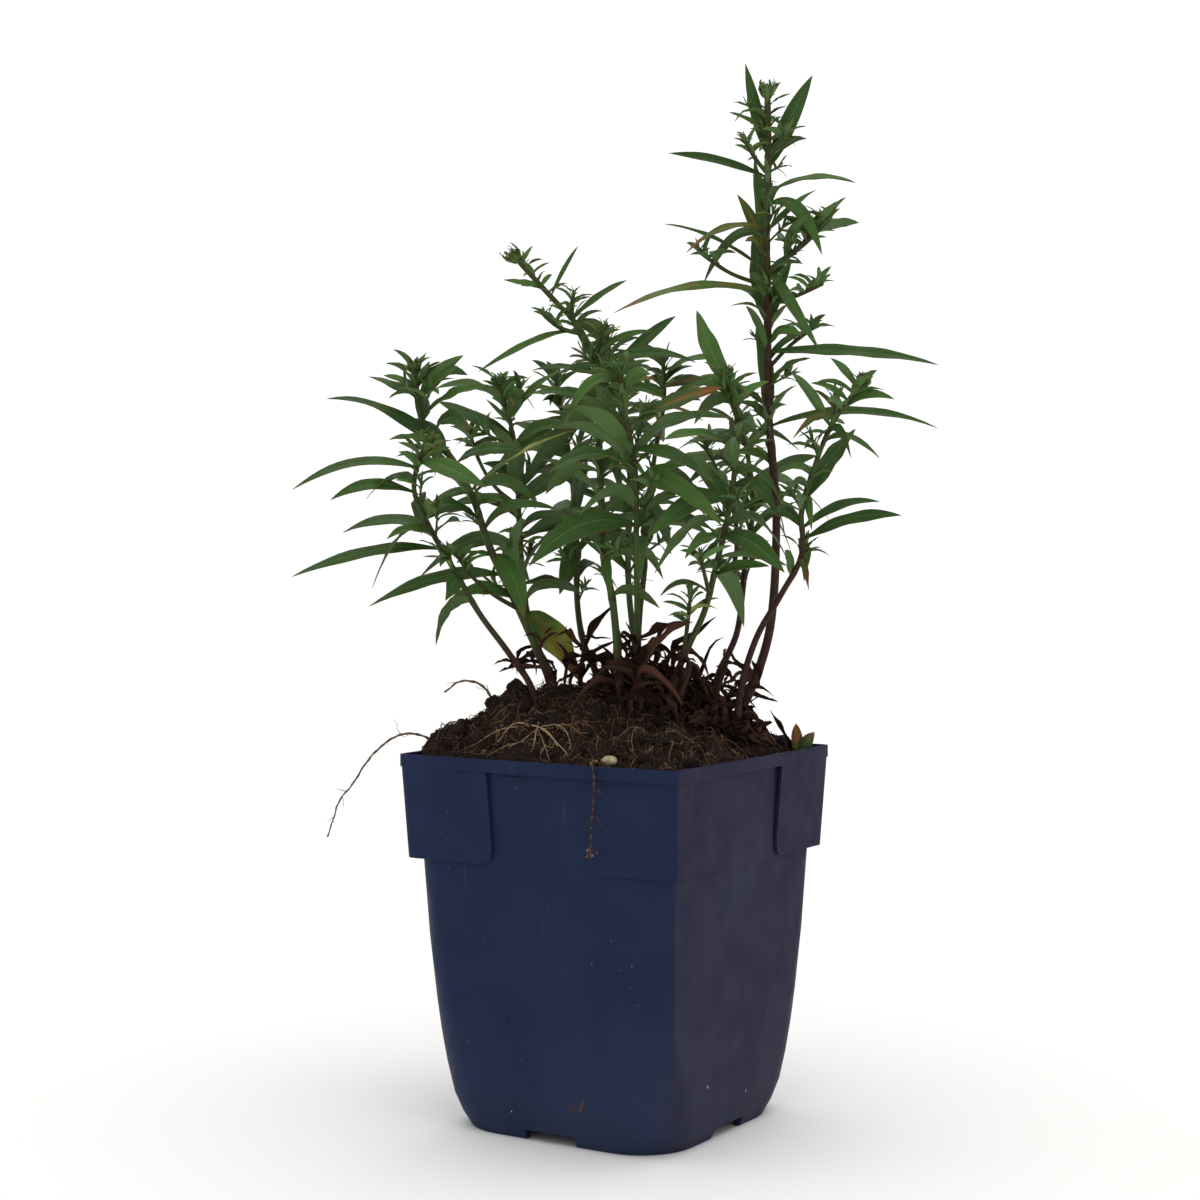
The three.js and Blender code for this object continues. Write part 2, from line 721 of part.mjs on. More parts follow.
// Short leaves close together on a branch, each at its own length. They rise between the
// low pair of angles at the first of them and the high pair at the last.
function tuft(branch, kind, distance, { count, size, low, high }) {
  for (let i = 0; i < count; i++) {
    const share = i / Math.max(count - 1, 1);
    branch.turn += GOLDEN_TURN;
    const length = size * mix(...TUFT_LENGTH, branch.random());
    const rise = mix(mix(low[0], high[0], share), mix(low[1], high[1], share), branch.random());
    const start = THREE.MathUtils.degToRad(rise);
    const end = THREE.MathUtils.degToRad(rise - TUFT_DROOP);
    const width = length * (kind === 'dead' ? DEAD_WIDTH : TUFT_WIDTH);
    springLeaf(branch, kind, distance + i * TUFT_STEP, { length, width, start, end, shape: 'small' });
  }
}

// The bunch of young leaves at the end of a branch, open below and steep above
function crown(branch) {
  if (!branch.crown) {
    return;
  }
  const { count, size } = branch.crown;
  const distance = branch.line.length - TUFT_STEP * count;
  tuft(branch, 'young', distance, { count, size, low: CROWN_LOW, high: CROWN_HIGH });
}

// Dead leaves that hang, curled, low on a stem
function deadLeaves(branch) {
  const { count, from, size } = branch.dead || { count: 0 };
  for (let i = 0; i < count; i++) {
    const distance = FOOT_DEPTH + from + i * TUFT_STEP;
    tuft(branch, 'dead', distance, { count: 1, size, low: DEAD_RISE, high: DEAD_RISE });
  }
}

// The stems. A route is a list of points as seen, across and up, from the soil to the tip.
// depth is how far behind the middle the foot and the tip stand. Growth runs from one height
// until another; lean lifts its leaves by degrees, and limp is their share of the usual droop.
const STEMS = [
  {
    name: 'stem_far_left',
    seed: 101,
    route: [[-29, 150], [-33.5, 157], [-44, 169], [-54, 186], [-63, 201], [-71, 218], [-70, 227],
      [-67.5, 236]],
    depth: [-14, -34],
    thick: 1.5,
    thin: 0.9,
    growth: { from: 186, gap: 6.6, length: 30, width: 8.4, tufts: 0.25 },
    leaves: [
      [226, -113.5, 221, -44, 5.6, 0.18],
      [199, -114, 192, -46, 5.6, 0.16],
      [203, -81, 206, -52, 5, 0.12],
      [218, -101, 219, -50, 5, 0.12],
      [204, -55.5, 209.5, -46, 5, 0.1],
      [189, -60.5, 181, -34, 8, 0.36],
      [228, -47, 222, -60, 7, 0.16],
    ],
    crown: { count: 6, size: 13 },
    dead: { count: 2, from: 14, size: 12 },
  },
  {
    name: 'stem_left',
    seed: 102,
    route: [[-22, 146], [-25, 155], [-33, 174], [-41.5, 192], [-47, 204.5], [-53, 223], [-60.5, 233.5],
      [-67.5, 242], [-71, 251], [-70.7, 261]],
    depth: [-2, -8],
    thick: 1.9,
    thin: 1,
    growth: { from: 194, gap: 6.2, length: 32, width: 9.4, tufts: 0.25 },
    leaves: [
      [229, -101.6, 251.8, -14, 7.4, 0.3],
      [252, -87, 260, 2, 5, 0.08],
      [250, -56, 263, -14, 5, 0.1],
      [244, -47, 258, -18, 6, 0.16],
      [234, -80, 240, -30, 5, 0.1],
      [190, -87, 180, -16, 6, 0.18],
      [182, -60, 182, -22, 8.4, 0.3],
      [208, -68, 209.5, -26, 7.6, 0.45],
      [197, -33, 176, -16, 9, 0.24],
      [219, -16, 243, -36, 7, 0.06],
    ],
    shoots: [
      { from: 178, route: [[-48, 186], [-56, 196]], depth: -24, crown: { count: 5, size: 13 } },
    ],
    crown: { count: 7, size: 14 },
    dead: { count: 3, from: 12, size: 12 },
  },
  {
    name: 'stem_left_inner',
    seed: 113,
    route: [[-22, 146], [-28.8, 164], [-32, 176], [-34, 195], [-35, 216], [-36, 235], [-41.5, 256]],
    depth: [12, 22],
    thick: 1.6,
    thin: 0.9,
    growth: { from: 190, gap: 6.2, length: 32, width: 10, tufts: 0.25 },
    leaves: [
      [218, -36, 238, 0, 10, 0.02],
      [219, -2, 264, 0, 8.6, 0.04],
      [176, -13, 153.5, -8, 15, 0.22],
      [238, -63, 251, 34, 6, 0.14],
      [246, -20, 262, 10, 5.6, 0.1],
    ],
    shoots: [
      { from: 214, route: [[-46, 224], [-52, 240]], depth: 30, crown: { count: 6, size: 13 } },
    ],
    crown: { count: 7, size: 14 },
    dead: { count: 3, from: 12, size: 13 },
  },
  {
    name: 'stem_back_left',
    seed: 104,
    route: [[-5.5, 149], [-12.8, 168], [-14.5, 180], [-14.5, 200], [-17, 230], [-22, 258]],
    depth: [26, 50],
    thick: 1.6,
    thin: 0.9,
    growth: { from: 190, gap: 6.6, length: 33, width: 8.2, tufts: 0.08 },
    leaves: [
      [232, -44, 236, 70, 7, 0.16],
      [244, 8, 262, 66, 6, 0.14],
      [214, -30, 205, 78, 7, 0.2],
      [220, 6, 216, 84, 7, 0.2],
      [204, -20.5, 183, 34, 8, 0.12],
    ],
    crown: { count: 7, size: 14 },
    dead: { count: 2, from: 14, size: 13 },
  },
  {
    name: 'stem_crooked_top',
    seed: 105,
    route: [[0.5, 148], [-0.5, 163.7], [-1, 175], [-5, 195], [-6, 215], [-7, 240], [-7, 262], [-11, 271.5],
      [-18.7, 282.3], [-26, 289], [-35, 299]],
    depth: [-16, -6],
    thick: 1.8,
    thin: 1,
    bud: 5,
    growth: { from: 192, until: 262, gap: 6.2, length: 30, width: 7.6, tufts: 0.225 },
    leaves: [
      [286, -14, 305, -4, 1.8, 0.1],
      [278, 2.9, 294.2, -2, 3.6, 0.12],
      [274, -49, 263.5, -16, 4.4, 0.16],
      [266, 11.5, 276.7, -18, 3.4, 0.12],
      [262, 27.2, 267, 2, 5.2, 0.2],
      [290, -40, 293, -14, 3, 0.06],
      [196, -3, 184.6, -34, 4.4, 0.26],
    ],
    shoots: [
      { from: 273, route: [[-21, 276], [-26, 280]], depth: -12, crown: { count: 5, size: 9 } },
      { from: 277, route: [[-16.5, 283], [-15.6, 288]], depth: -14, crown: { count: 5, size: 8 } },
      { from: 264, route: [[-6.5, 271], [-5.6, 276]], depth: -16, crown: { count: 5, size: 8 } },
    ],
    crown: { count: 11, size: 9 },
    dead: { count: 3, from: 12, size: 15 },
  },
  {
    name: 'stem_centre_front',
    seed: 106,
    route: [[7, 146], [6.5, 164], [6.4, 184.6], [6, 203.4], [6, 225], [2, 248], [0, 262]],
    depth: [-8, -40],
    thick: 1.5,
    thin: 0.9,
    growth: { from: 200, gap: 6.2, length: 32, width: 8.6, tufts: 0.2 },
    leaves: [
      [207, -32, 196, -58, 9.6, 0.2],
      [232, 33.3, 224, -56, 7.6, 0.2],
      [222, 36, 212, -48, 8.4, 0.24],
      [240, 36.4, 255, -42, 7, 0.12],
      [226, -24, 232, -70, 8, 0.14],
    ],
    crown: { count: 6, size: 13 },
    dead: { count: 3, from: 12, size: 15 },
  },
  {
    name: 'stem_centre',
    seed: 107,
    route: [[8, 148], [6, 163.7], [4, 178], [3.5, 191], [3.3, 201], [4, 225], [0, 250], [-5, 274]],
    depth: [12, 20],
    thick: 1.6,
    thin: 0.9,
    growth: { from: 200, gap: 6.6, length: 31, width: 7.8, tufts: 0.08 },
    leaves: [
      [258, -30, 262, 26, 5, 0.16],
      [262, 20, 282, 30, 5, 0.1],
      [246, 30, 246, 34, 7, 0.18],
    ],
    shoots: [
      { from: 252, route: [[-10, 266], [-17, 281]], depth: 32, crown: { count: 6, size: 12 } },
    ],
    crown: { count: 7, size: 13 },
    dead: { count: 2, from: 14, size: 14 },
  },
  {
    name: 'stem_centre_back',
    seed: 108,
    route: [[5.4, 148], [6.5, 162], [7.5, 178], [9, 191], [9.2, 206], [12, 228], [16, 252], [15.5, 264]],
    depth: [30, 54],
    thick: 1.6,
    thin: 0.9,
    growth: { from: 196, gap: 6.2, length: 33, width: 8.2, tufts: 0.08 },
    leaves: [
      [226, 44, 232, 84, 7, 0.18],
      [240, -8, 240, 88, 7, 0.18],
      [210, 28, 200, 92, 7, 0.22],
      [250, 40, 262, 66, 6, 0.14],
    ],
    crown: { count: 7, size: 14 },
    dead: { count: 2, from: 14, size: 14 },
  },
  {
    name: 'stem_right_front',
    seed: 109,
    route: [[17, 146], [20.5, 156], [24.5, 165], [29, 174], [32.6, 188], [36, 200], [39, 216],
      [40.5, 226.5], [41.5, 240], [40.5, 251], [38, 258]],
    depth: [-14, -36],
    thick: 1.6,
    thin: 0.9,
    growth: { from: 194, gap: 6.2, length: 30, width: 8.2, tufts: 0.25 },
    leaves: [
      [252, 27.3, 283, -24, 7, 0.04],
      [204, 57.3, 194, -52, 8, 0.16],
      [190, 53, 193.6, -46, 5, 0.1],
      [232, 16, 240, -60, 7, 0.16],
      [216, 10, 206, -66, 7.4, 0.22],
    ],
    shoots: [
      { from: 160, route: [[24, 172], [25, 182]], depth: -26, crown: { count: 6, size: 13 } },
      { from: 184, route: [[30, 190], [28.5, 196]], depth: -40, crown: { count: 4, size: 12 } },
    ],
    crown: { count: 7, size: 15 },
    dead: { count: 3, from: 12, size: 15 },
  },
  {
    name: 'stem_forked_back',
    seed: 110,
    route: [[31, 141], [35, 155], [41.5, 170], [43, 181], [44.5, 198.5], [47, 215], [44, 236], [40, 252]],
    depth: [20, 50],
    thick: 1.7,
    thin: 0.9,
    growth: { from: 196, gap: 6.6, length: 32, width: 8.2, tufts: 0.08 },
    leaves: [
      [224, 74, 214, 74, 7, 0.2],
      [238, 20, 232, 82, 7, 0.2],
      [214, 60, 200, 88, 7, 0.22],
    ],
    shoots: [
      {
        from: 176,
        route: [[39.5, 194], [42, 206], [36, 222], [30, 236]],
        depth: 20,
        thick: 1.3,
        growth: { from: 200, gap: 9, length: 28, width: 7, tufts: 0.15 },
        crown: { count: 6, size: 13 },
      },
    ],
    crown: { count: 7, size: 14 },
    dead: { count: 2, from: 14, size: 14 },
  },
  {
    name: 'stem_tall',
    seed: 111,
    route: [[40.3, 134.3], [45.2, 147.9], [50.4, 160], [53.2, 174], [54.4, 187], [55, 212],
      [53.5, 231.4], [52, 247.4], [51.8, 278.5], [51.4, 312], [52, 331], [51.6, 355.5]],
    depth: [8, 6],
    thick: 2.1,
    thin: 1.3,
    bud: 5,
    growth: { from: 236, gap: 6.2, length: 25, width: 6.2, tufts: 0.25, lean: 14, limp: 0.5 },
    leaves: [
      [336, 43.8, 367, 12, 5, 0.02],
      [332, 67, 363.5, 12, 6.6, 0.02],
      [329, 17.2, 336.4, -6, 4.8, 0.04],
      [324, 82.2, 327.2, 0, 4, 0.2],
      [310, 68.3, 325, 14, 3.6, 0.1],
      [296, 16.1, 313.7, -2, 4, 0.08],
      [311, 23.4, 305.3, -10, 3.8, 0.2],
      [289, -1.9, 283.5, -14, 4.8, 0.12],
      [268, 111, 269.3, 6, 5.8, 0.06],
      [242, 111.3, 249, 0, 5.2, 0.14],
      [345, 38.3, 351, 0, 3, 0.1],
      [335, 63, 343, -6, 3, 0.08],
      [277, 47, 313, 14, 7, 0],
      [304, 47.2, 335, 14, 6.6, 0],
      [277, 60.5, 300, 18, 6.4, 0.04],
      [298, 70, 268, -6, 4.6, 0.16],
      [244, 48, 276, 16, 6.4, 0],
    ],
    shoots: [
      {
        from: 296,
        route: [[62, 303], [73.6, 314]],
        depth: 8,
        thick: 1.3,
        thin: 1.1,
        growth: { from: 299, gap: 3, length: 17, width: 6.4, tufts: 0, lean: 8, limp: 0.5 },
        crown: { count: 8, size: 11 },
      },
      {
        from: 284,
        route: [[62, 287], [71, 291]],
        depth: -2,
        crown: { count: 6, size: 12 },
      },
      {
        from: 291,
        route: [[36, 296], [28, 302]],
        depth: 6,
        crown: { count: 5, size: 11 },
      },
      {
        from: 262,
        route: [[60, 270], [68, 276]],
        depth: 22,
        crown: { count: 6, size: 12 },
      },
      {
        from: 330,
        route: [[47, 335], [44.2, 340]],
        depth: -2,
        crown: { count: 5, size: 9 },
      },
    ],
    crown: { count: 11, size: 10 },
    dead: { count: 3, from: 12, size: 15 },
  },
  {
    name: 'stem_far_right',
    seed: 112,
    route: [[41, 138], [43.4, 152.5], [45.2, 159.5], [50, 172], [57, 183.5], [62, 193.7],
      [65.4, 200.6], [63.5, 209], [65, 217], [68, 227], [71.7, 234.5], [76.6, 247.4], [84, 256]],
    depth: [-8, -26],
    thick: 1.6,
    thin: 0.9,
    growth: { from: 200, gap: 6.2, length: 26, width: 6.6, tufts: 0.25 },
    leaves: [
      [202, 98.8, 212.5, -34, 5.4, 0.16],
      [206, 91, 218.4, -12, 5, 0.12],
      [216, 82.5, 241.5, -10, 7.4, 0.04],
      [196, 66.4, 185.3, -24, 3.6, 0.3],
      [240, 60, 262, -36, 5, 0.1],
    ],
    crown: { count: 7, size: 14 },
    dead: { count: 2, from: 14, size: 14 },
  },
];

// Dead shoots: stubs between the stems that hold the curled brown leaves
const DEAD_SHOOTS = [
  { side: 'left', route: [[-13, 149], [-15, 158], [-12, 165]], depth: [4, 0], leaf: 18 },
  { side: 'centre', route: [[3, 148], [9, 156], [13, 166]], depth: [-20, -22], leaf: 24 },
  { side: 'middle', route: [[22, 146], [15, 154], [19, 163]], depth: [8, 6], leaf: 21 },
  { side: 'right', route: [[34, 141], [33, 150], [38, 160]], depth: [-4, -8], leaf: 20 },
].map(({ side, route, depth, leaf }, i) => ({
  name: `dead_shoot_${side}`,
  seed: 201 + i,
  route,
  depth,
  thick: 1.3,
  thin: 0.8,
  bud: 1.8,
  dead: { count: 9, from: 3, size: leaf },
}));

function growPlant() {
  const plants = [...STEMS, ...DEAD_SHOOTS].map(plantStem);
  const branches = plants.flatMap((plant) => plant.branches);
  branches.forEach(keyLeaves);
  branches.forEach(crown);
  branches.forEach(deadLeaves);
  for (let i = 0; i < LEAF_ROUNDS; i++) {
    branches.forEach((branch) => spiralLeaf(branch, i));
  }
  return plants.map((plant) => plant.owner);
}

const SIDES = { stem: STEM_SIDES, twig: TWIG_SIDES };

function pieceSolid({ kind, stations }) {
  return kind in SIDES ? roundSolid(stations, SIDES[kind]) : bladeSolid(stations);
}

// The plain hole that a stem's foot stands in
function footHole(stations) {
  const foot = stations.map((station) => ({ ...station, at: station.at.clone() }));
  foot[0].at.z -= HOLE_GAP;
  return roundSolid(foot, STEM_SIDES, HOLE_GAP);
}

// What lies on the soil: roots and a pebble

// The point of the sight line through (across, up) that lies on the pot's wide left side
function seenOnWall(across, up, wall) {
  const near = seen(across, up, 0);
  const far = seen(across, up, 100);
  return near.clone().lerp(far, (wall - near.y) / (far.y - near.y));
}

// A point that stands on the soil, or just over it
function onSoil(across, depth, above) {
  const point = new THREE.Vector3(across, depth, 0).applyAxisAngle(UP, VIEW_TURN);
  return point.setZ(soilTop(point.x, point.y) + above);
}

function rootStations(points, thick, thin) {
  return stemStations(lineOf(points, ROOT_STEP).points, thick, thin);
}

// The bare root that leaves the soil at the left corner, passes over the rim and hangs down
function hangingRoot() {
  const foot = seen(-57, 127, -14).setZ(ROOT_START);
  const route = [[-64, 131], [-70.4, 134.6], [-77.3, 133.7], [-80.5, 131.8], [-85.4, 127.4], [-92.7, 117.6],
    [-99.1, 109], [-99.7, 104.3], [-101.9, 98.1]];
  const points = route.map(([across, up]) => seen(across, up, HANGING_DEPTH));
  return rootStations([foot, ...points], ...ROOT_RADIUS);
}

// The root that comes over the rim of the wide left side and hangs against the pot
function wallRoot() {
  const clear = -RIM_SIDE / 2 - RIM_BOW - ROOT_GAP;
  const route = [[-9.3, 121.6], [-8.6, 114.8], [-9.4, 101], [-10, 89.7]];
  const over = seenOnWall(-9.5, 125.1, clear + 0.5);
  const start = over.clone().add(new THREE.Vector3(-1, 8, 0)).setZ(ROOT_START);
  const top = over.clone().add(new THREE.Vector3(-0.6, 4, 0)).setZ(RIM_HEIGHT + 1.6);
  const points = route.map(([across, up]) => seenOnWall(across, up, clear));
  return rootStations([start, top, over, ...points], ...ROOT_RADIUS);
}

// The loose arch of root on the left of the heap, its far end free
function archedRoot() {
  const route = [[-44.5, 147.5], [-46.5, 150.2], [-50, 152.6], [-54, 153], [-58, 151.4], [-61, 148.8]];
  const points = route.map(([across, up]) => seen(across, up, ARCH_DEPTH));
  const foot = seen(-43, 141, ARCH_DEPTH);
  return rootStations([foot.setZ(soilTop(foot.x, foot.y) - 4), ...points], ...ARCH_RADIUS);
}

// The pale roots that spread over the front of the mound from one knot
function spreadRoots() {
  const knot = onSoil(...SPREAD_KNOT, 0.4);
  return SPREAD.map(([across, depth]) => {
    const end = onSoil(across, depth, -0.6);
    const middle = knot.clone().lerp(end, 0.5);
    middle.z = Math.max(soilTop(middle.x, middle.y), middle.z) + 1.2;
    return rootStations([knot, middle, end], ...SPREAD_RADIUS);
  });
}

// A small water-worn stone, half sunk in the soil behind the near corner
function pebble(extra = 0) {
  const stone = new THREE.IcosahedronGeometry(1, 1);
  const [length, width, height] = PEBBLE.map((size) => size / 2 + extra);
  stone.scale(length, width, height).rotateZ(0.4);
  return solidOf(stone.translate(...onSoil(-3.5, -52, 0.6)));
}

// Assembly

const COLOURS = {
  root: { color: 0x8a6a48, roughness: 0.8 },
  stone: { color: 0xa89c86, roughness: 0.9 },
  dead: { color: 0x3a2418, roughness: 0.9 },
  pot: { color: 0x1f2f57, roughness: 0.5 },
  soil: { color: 0x33241a, roughness: 0.95 },
  stem: { color: 0x2f4a2a, roughness: 0.6 },
};

function named(name, solid, look) {
  const material = new THREE.MeshStandardMaterial({ ...COLOURS[look], metalness: 0 });
  const mesh = new THREE.Mesh(geometryOf(solid.simplify(SMALLEST_STEP)), material);
  mesh.name = name;
  return mesh;
}

const aster = new THREE.Group();
const owners = growPlant();
const roots = {
  hanging_root: [hangingRoot()],
  wall_root: [wallRoot()],
  arched_root: [archedRoot()],
  spread_roots: spreadRoots(),
};
const hollows = [
  ...owners.map((owner) => footHole(owner.foot)),
  ...Object.values(roots).flat().map((line) => roundSolid(line, TWIG_SIDES, HOLE_GAP)),
  pebble(HOLE_GAP),
];
aster.add(named('pot', potSolid(), 'pot'));
aster.add(named('soil', soilBody().subtract(joined(hollows)), 'soil'));
owners.forEach((owner) => {
  const look = owner.name.startsWith('dead') ? 'dead' : 'stem';
  aster.add(named(owner.name, joined(owner.pieces.map(pieceSolid)), look));
});
Object.entries(roots).forEach(([name, lines]) => {
  aster.add(named(name, joined(lines.map((line) => roundSolid(line, TWIG_SIDES))), 'root'));
});
aster.add(named('pebble', pebble(), 'stone'));

export default aster;
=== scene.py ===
"""Potted aster: the looks of a leafy perennial in a square nursery pot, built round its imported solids.

The plant grows here by the same rule as its solids, in millimetres, so that every fine leaf lies where its
plain blade lies. Meshes are written in metres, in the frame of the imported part.
"""

import logging
import math
from dataclasses import astuple, dataclass, field
from enum import Enum
from functools import lru_cache
from typing import Any, Callable, Optional, Sequence

import bmesh
import bpy
import numpy as np
from mathutils import Matrix, Vector, noise


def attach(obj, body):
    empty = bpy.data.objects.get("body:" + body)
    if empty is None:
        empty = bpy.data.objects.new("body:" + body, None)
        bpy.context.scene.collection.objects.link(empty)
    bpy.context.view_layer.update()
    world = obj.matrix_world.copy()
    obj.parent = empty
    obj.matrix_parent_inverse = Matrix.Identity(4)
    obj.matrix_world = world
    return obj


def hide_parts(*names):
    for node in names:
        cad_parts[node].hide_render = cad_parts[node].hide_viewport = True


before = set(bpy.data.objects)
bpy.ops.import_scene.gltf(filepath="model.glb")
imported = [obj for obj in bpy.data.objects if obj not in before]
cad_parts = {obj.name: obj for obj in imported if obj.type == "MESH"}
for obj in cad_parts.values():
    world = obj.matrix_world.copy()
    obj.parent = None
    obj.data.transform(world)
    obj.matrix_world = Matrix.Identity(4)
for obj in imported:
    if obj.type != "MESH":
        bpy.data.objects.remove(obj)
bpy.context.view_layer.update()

MM = 0.001
UP = np.array([0.0, 0.0, 1.0])
GOLDEN_TURN = math.radians(137.5)
QUARTER_TURN = math.pi / 2
CYCLE = 6.283
ANY_WAY = (0, 6.28)
Array = np.ndarray
Mesh = bpy.types.Mesh
Piece = bpy.types.Object
Material = bpy.types.Material
Socket = bpy.types.NodeSocket
Colour = tuple[float, float, float, float]
Pair = tuple[float, float]
Routes = list[tuple[Array, float, float]]
log = logging.getLogger("aster")


class Slot(Enum):
    """The record's material slots."""

    POT = "pot"
    SOIL = "soil"
    FOLIAGE = "foliage"
    DEAD_LEAF = "dead_leaf"
    ROOT = "root"
    STONE = "stone"


class Kind(Enum):
    """What a blade on a branch is."""

    LEAF = "leaf"
    YOUNG = "young"
    DEAD = "dead"


def mix(a: float, b: float, share: float) -> float:
    """The value a share of the way from a to b."""
    return a + (b - a) * share


def unit(v: Array) -> Array:
    """The vectors of an array, each at length one."""
    return v / np.maximum(np.linalg.norm(v, axis=-1, keepdims=True), 1e-12)


def smooth(value: Array, low: float, high: float) -> Array:
    """A soft step from 0 at low to 1 at high."""
    share = np.clip((value - low) / (high - low), 0, 1)
    return share * share * (3 - 2 * share)


def tone(code: str) -> Colour:
    """A colour in the linear numbers that shaders take.

    Args:
        code: The colour as six hex digits.

    Returns:
        Its red, green and blue, and 1 for its cover.
    """
    parts = [int(code[i:i + 2], 16) / 255 for i in (0, 2, 4)]
    linear = [v / 12.92 if v <= 0.04045 else ((v + 0.055) / 1.055) ** 2.4 for v in parts]
    return (*linear, 1.0)


def level_way(turn: float) -> Array:
    """The level way at a turn from +X."""
    return np.array([math.cos(turn), math.sin(turn), 0])


def swung(first: Array, second: Array, turn: float) -> Array:
    """The way that lies a turn from one way towards another at right angles to it."""
    return first * math.cos(turn) + second * math.sin(turn)


def mesh_of(bm: bmesh.types.BMesh, name: str, places: Optional[Array] = None) -> Mesh:
    """Keeps a bmesh as a mesh and lets the bmesh go.

    Args:
        bm: The bmesh.
        name: The mesh's name.
        places: Where its vertices go, in millimetres, or None where they stay.

    Returns:
        The mesh.
    """
    mesh = bpy.data.meshes.new(name)
    bm.to_mesh(mesh)
    bm.free()
    if places is not None:
        mesh.vertices.foreach_set("co", (places * MM).ravel())
    return mesh


def places_of(mesh: Mesh) -> Array:
    """The places of a mesh's vertices.

    Args:
        mesh: The mesh.

    Returns:
        The places, one row each.
    """
    places = np.zeros(len(mesh.vertices) * 3)
    mesh.vertices.foreach_get("co", places)
    return places.reshape(-1, 3)


def placed(name: str, data: Any) -> Piece:
    """Puts an object in the scene.

    Args:
        name: The object's name.
        data: Its mesh, camera or light.

    Returns:
        The object.
    """
    made = bpy.data.objects.new(name, data)
    bpy.context.scene.collection.objects.link(made)
    return made


class Dice:
    """Random numbers that come out the same on every run."""

    def __init__(self, seed: int) -> None:
        """Starts the row of numbers at a seed."""
        self.state = seed

    def __call__(self) -> float:
        """The next number between 0 and 1."""
        self.state = self.state * 16807 % 2147483647
        return self.state / 2147483647

    def between(self, low: float, high: float) -> float:
        """The next number between two others."""
        return mix(low, high, self())


@dataclass(frozen=True)
class Eye:
    """Where the plant was seen from, in millimetres, and the turn of the pot to that view."""

    across: float = -6.5
    back: float = 774.0
    up: float = 202.0
    turn: float = math.radians(32.2)
    down: float = 0.027
    lens: float = 66.54

    def turned(self, across: float, depth: float, up: float) -> Array:
        """A point given in the view's own directions, in the frame of the part."""
        cos, sin = math.cos(self.turn), math.sin(self.turn)
        return np.array([across * cos - depth * sin, across * sin + depth * cos, up])

    def seen(self, across: float, up: float, depth: float) -> Array:
        """A point seen in the plane through the pot's axis, pushed back along its line of sight.

        Args:
            across: Millimetres to the right of the pot's axis in that plane.
            up: Millimetres above the ground in that plane.
            depth: How far behind the plane the point lies.

        Returns:
            The point in the frame of the part, in millimetres.
        """
        reach = 1 + depth / self.back
        x = self.across + (across - self.across) * reach
        return self.turned(x, depth, self.up + (up - self.up) * reach)


EYE = Eye()


class Line:
    """A line of straight stretches, with the length up to each of its points."""

    def __init__(self, points: Array) -> None:
        """Measures a row of points.

        Args:
            points: The points, in order.
        """
        self.points = points
        steps = np.linalg.norm(np.diff(points, axis=0), axis=1)
        self.lengths = np.concatenate([[0.0], np.cumsum(steps)])
        self.length = float(self.lengths[-1])

    def at(self, distance: float) -> Array:
        """The point at a distance along the line.

        Args:
            distance: The distance from its start, kept within the line.

        Returns:
            The point.
        """
        wanted = min(max(distance, 0.0), self.length)
        i = max(1, int(np.argmax(self.lengths >= wanted)))
        share = (wanted - self.lengths[i - 1]) / (self.lengths[i] - self.lengths[i - 1])
        return mix(self.points[i - 1], self.points[i], share)

    def distance_at_height(self, up: float) -> float:
        """How far along the line it first reaches a height, or its whole length if it never does.

        Args:
            up: The height.

        Returns:
            The distance from its start.
        """
        above = self.points[:, 2] >= up
        if not above.any():
            return self.length
        i = int(np.argmax(above))
        if i < 1:
            return 0.0
        low, high = self.points[i - 1, 2], self.points[i, 2]
        return mix(self.lengths[i - 1], self.lengths[i], (up - low) / (high - low))


def curved(points: Array, per_span: int) -> Array:
    """A smooth curve through points.

    Args:
        points: The points it passes through, one row each.
        per_span: How many steps it takes between two of them.

    Returns:
        The points of the curve, one row each.
    """
    before = 2 * points[0] - points[1]
    after = 2 * points[-1] - points[-2]
    whole = np.vstack([before, points, after])
    rows = []
    spans = len(points) - 1
    for d in range(spans * per_span + 1):
        place = spans * (d / (spans * per_span))
        i = min(int(place), spans - 1)
        t = place - i
        p0, p1, p2, p3 = whole[i:i + 4]
        t0, t1 = 0.5 * (p2 - p0), 0.5 * (p3 - p1)
        bend, ease = -3 * p1 + 3 * p2 - 2 * t0 - t1, 2 * p1 - 2 * p2 + t0 + t1
        rows.append(p1 + t0 * t + bend * t * t + ease * t ** 3)
    return np.array(rows)


def line_of(points: Array, step: float) -> Line:
    """The line that a stem or root follows: a smooth curve in even steps.

    Args:
        points: The points it passes through.
        step: The length that each straight stretch has, about.

    Returns:
        The measured line.
    """
    fine = Line(curved(points, 8))
    count = max(2, math.floor(fine.length / step + 0.5))
    return Line(np.array([fine.at(fine.length * i / count) for i in range(count + 1)]))


@dataclass(frozen=True)
class Rhythm:
    """How leaves follow each other up a branch, in millimetres.

    They run from the height start until another. lean lifts them by degrees, and limp is their share of
    the usual droop.
    """

    start: float
    gap: float
    length: float
    width: float
    tufts: float
    lean: float = 0.0
    limp: float = 1.0
    until: float = math.inf


@dataclass(frozen=True)
class Bunch:
    """Short leaves close together."""

    count: int
    size: float
    start: float = 0.0


@dataclass(frozen=True)
class Shoot:
    """A side shoot: the height where it leaves its stem, its route as seen, and the depth of its tip."""

    start: float
    route: Sequence[Pair]
    depth: float
    crown: Bunch
    thick: float = 1.0
    thin: float = 0.7
    growth: Optional[Rhythm] = None


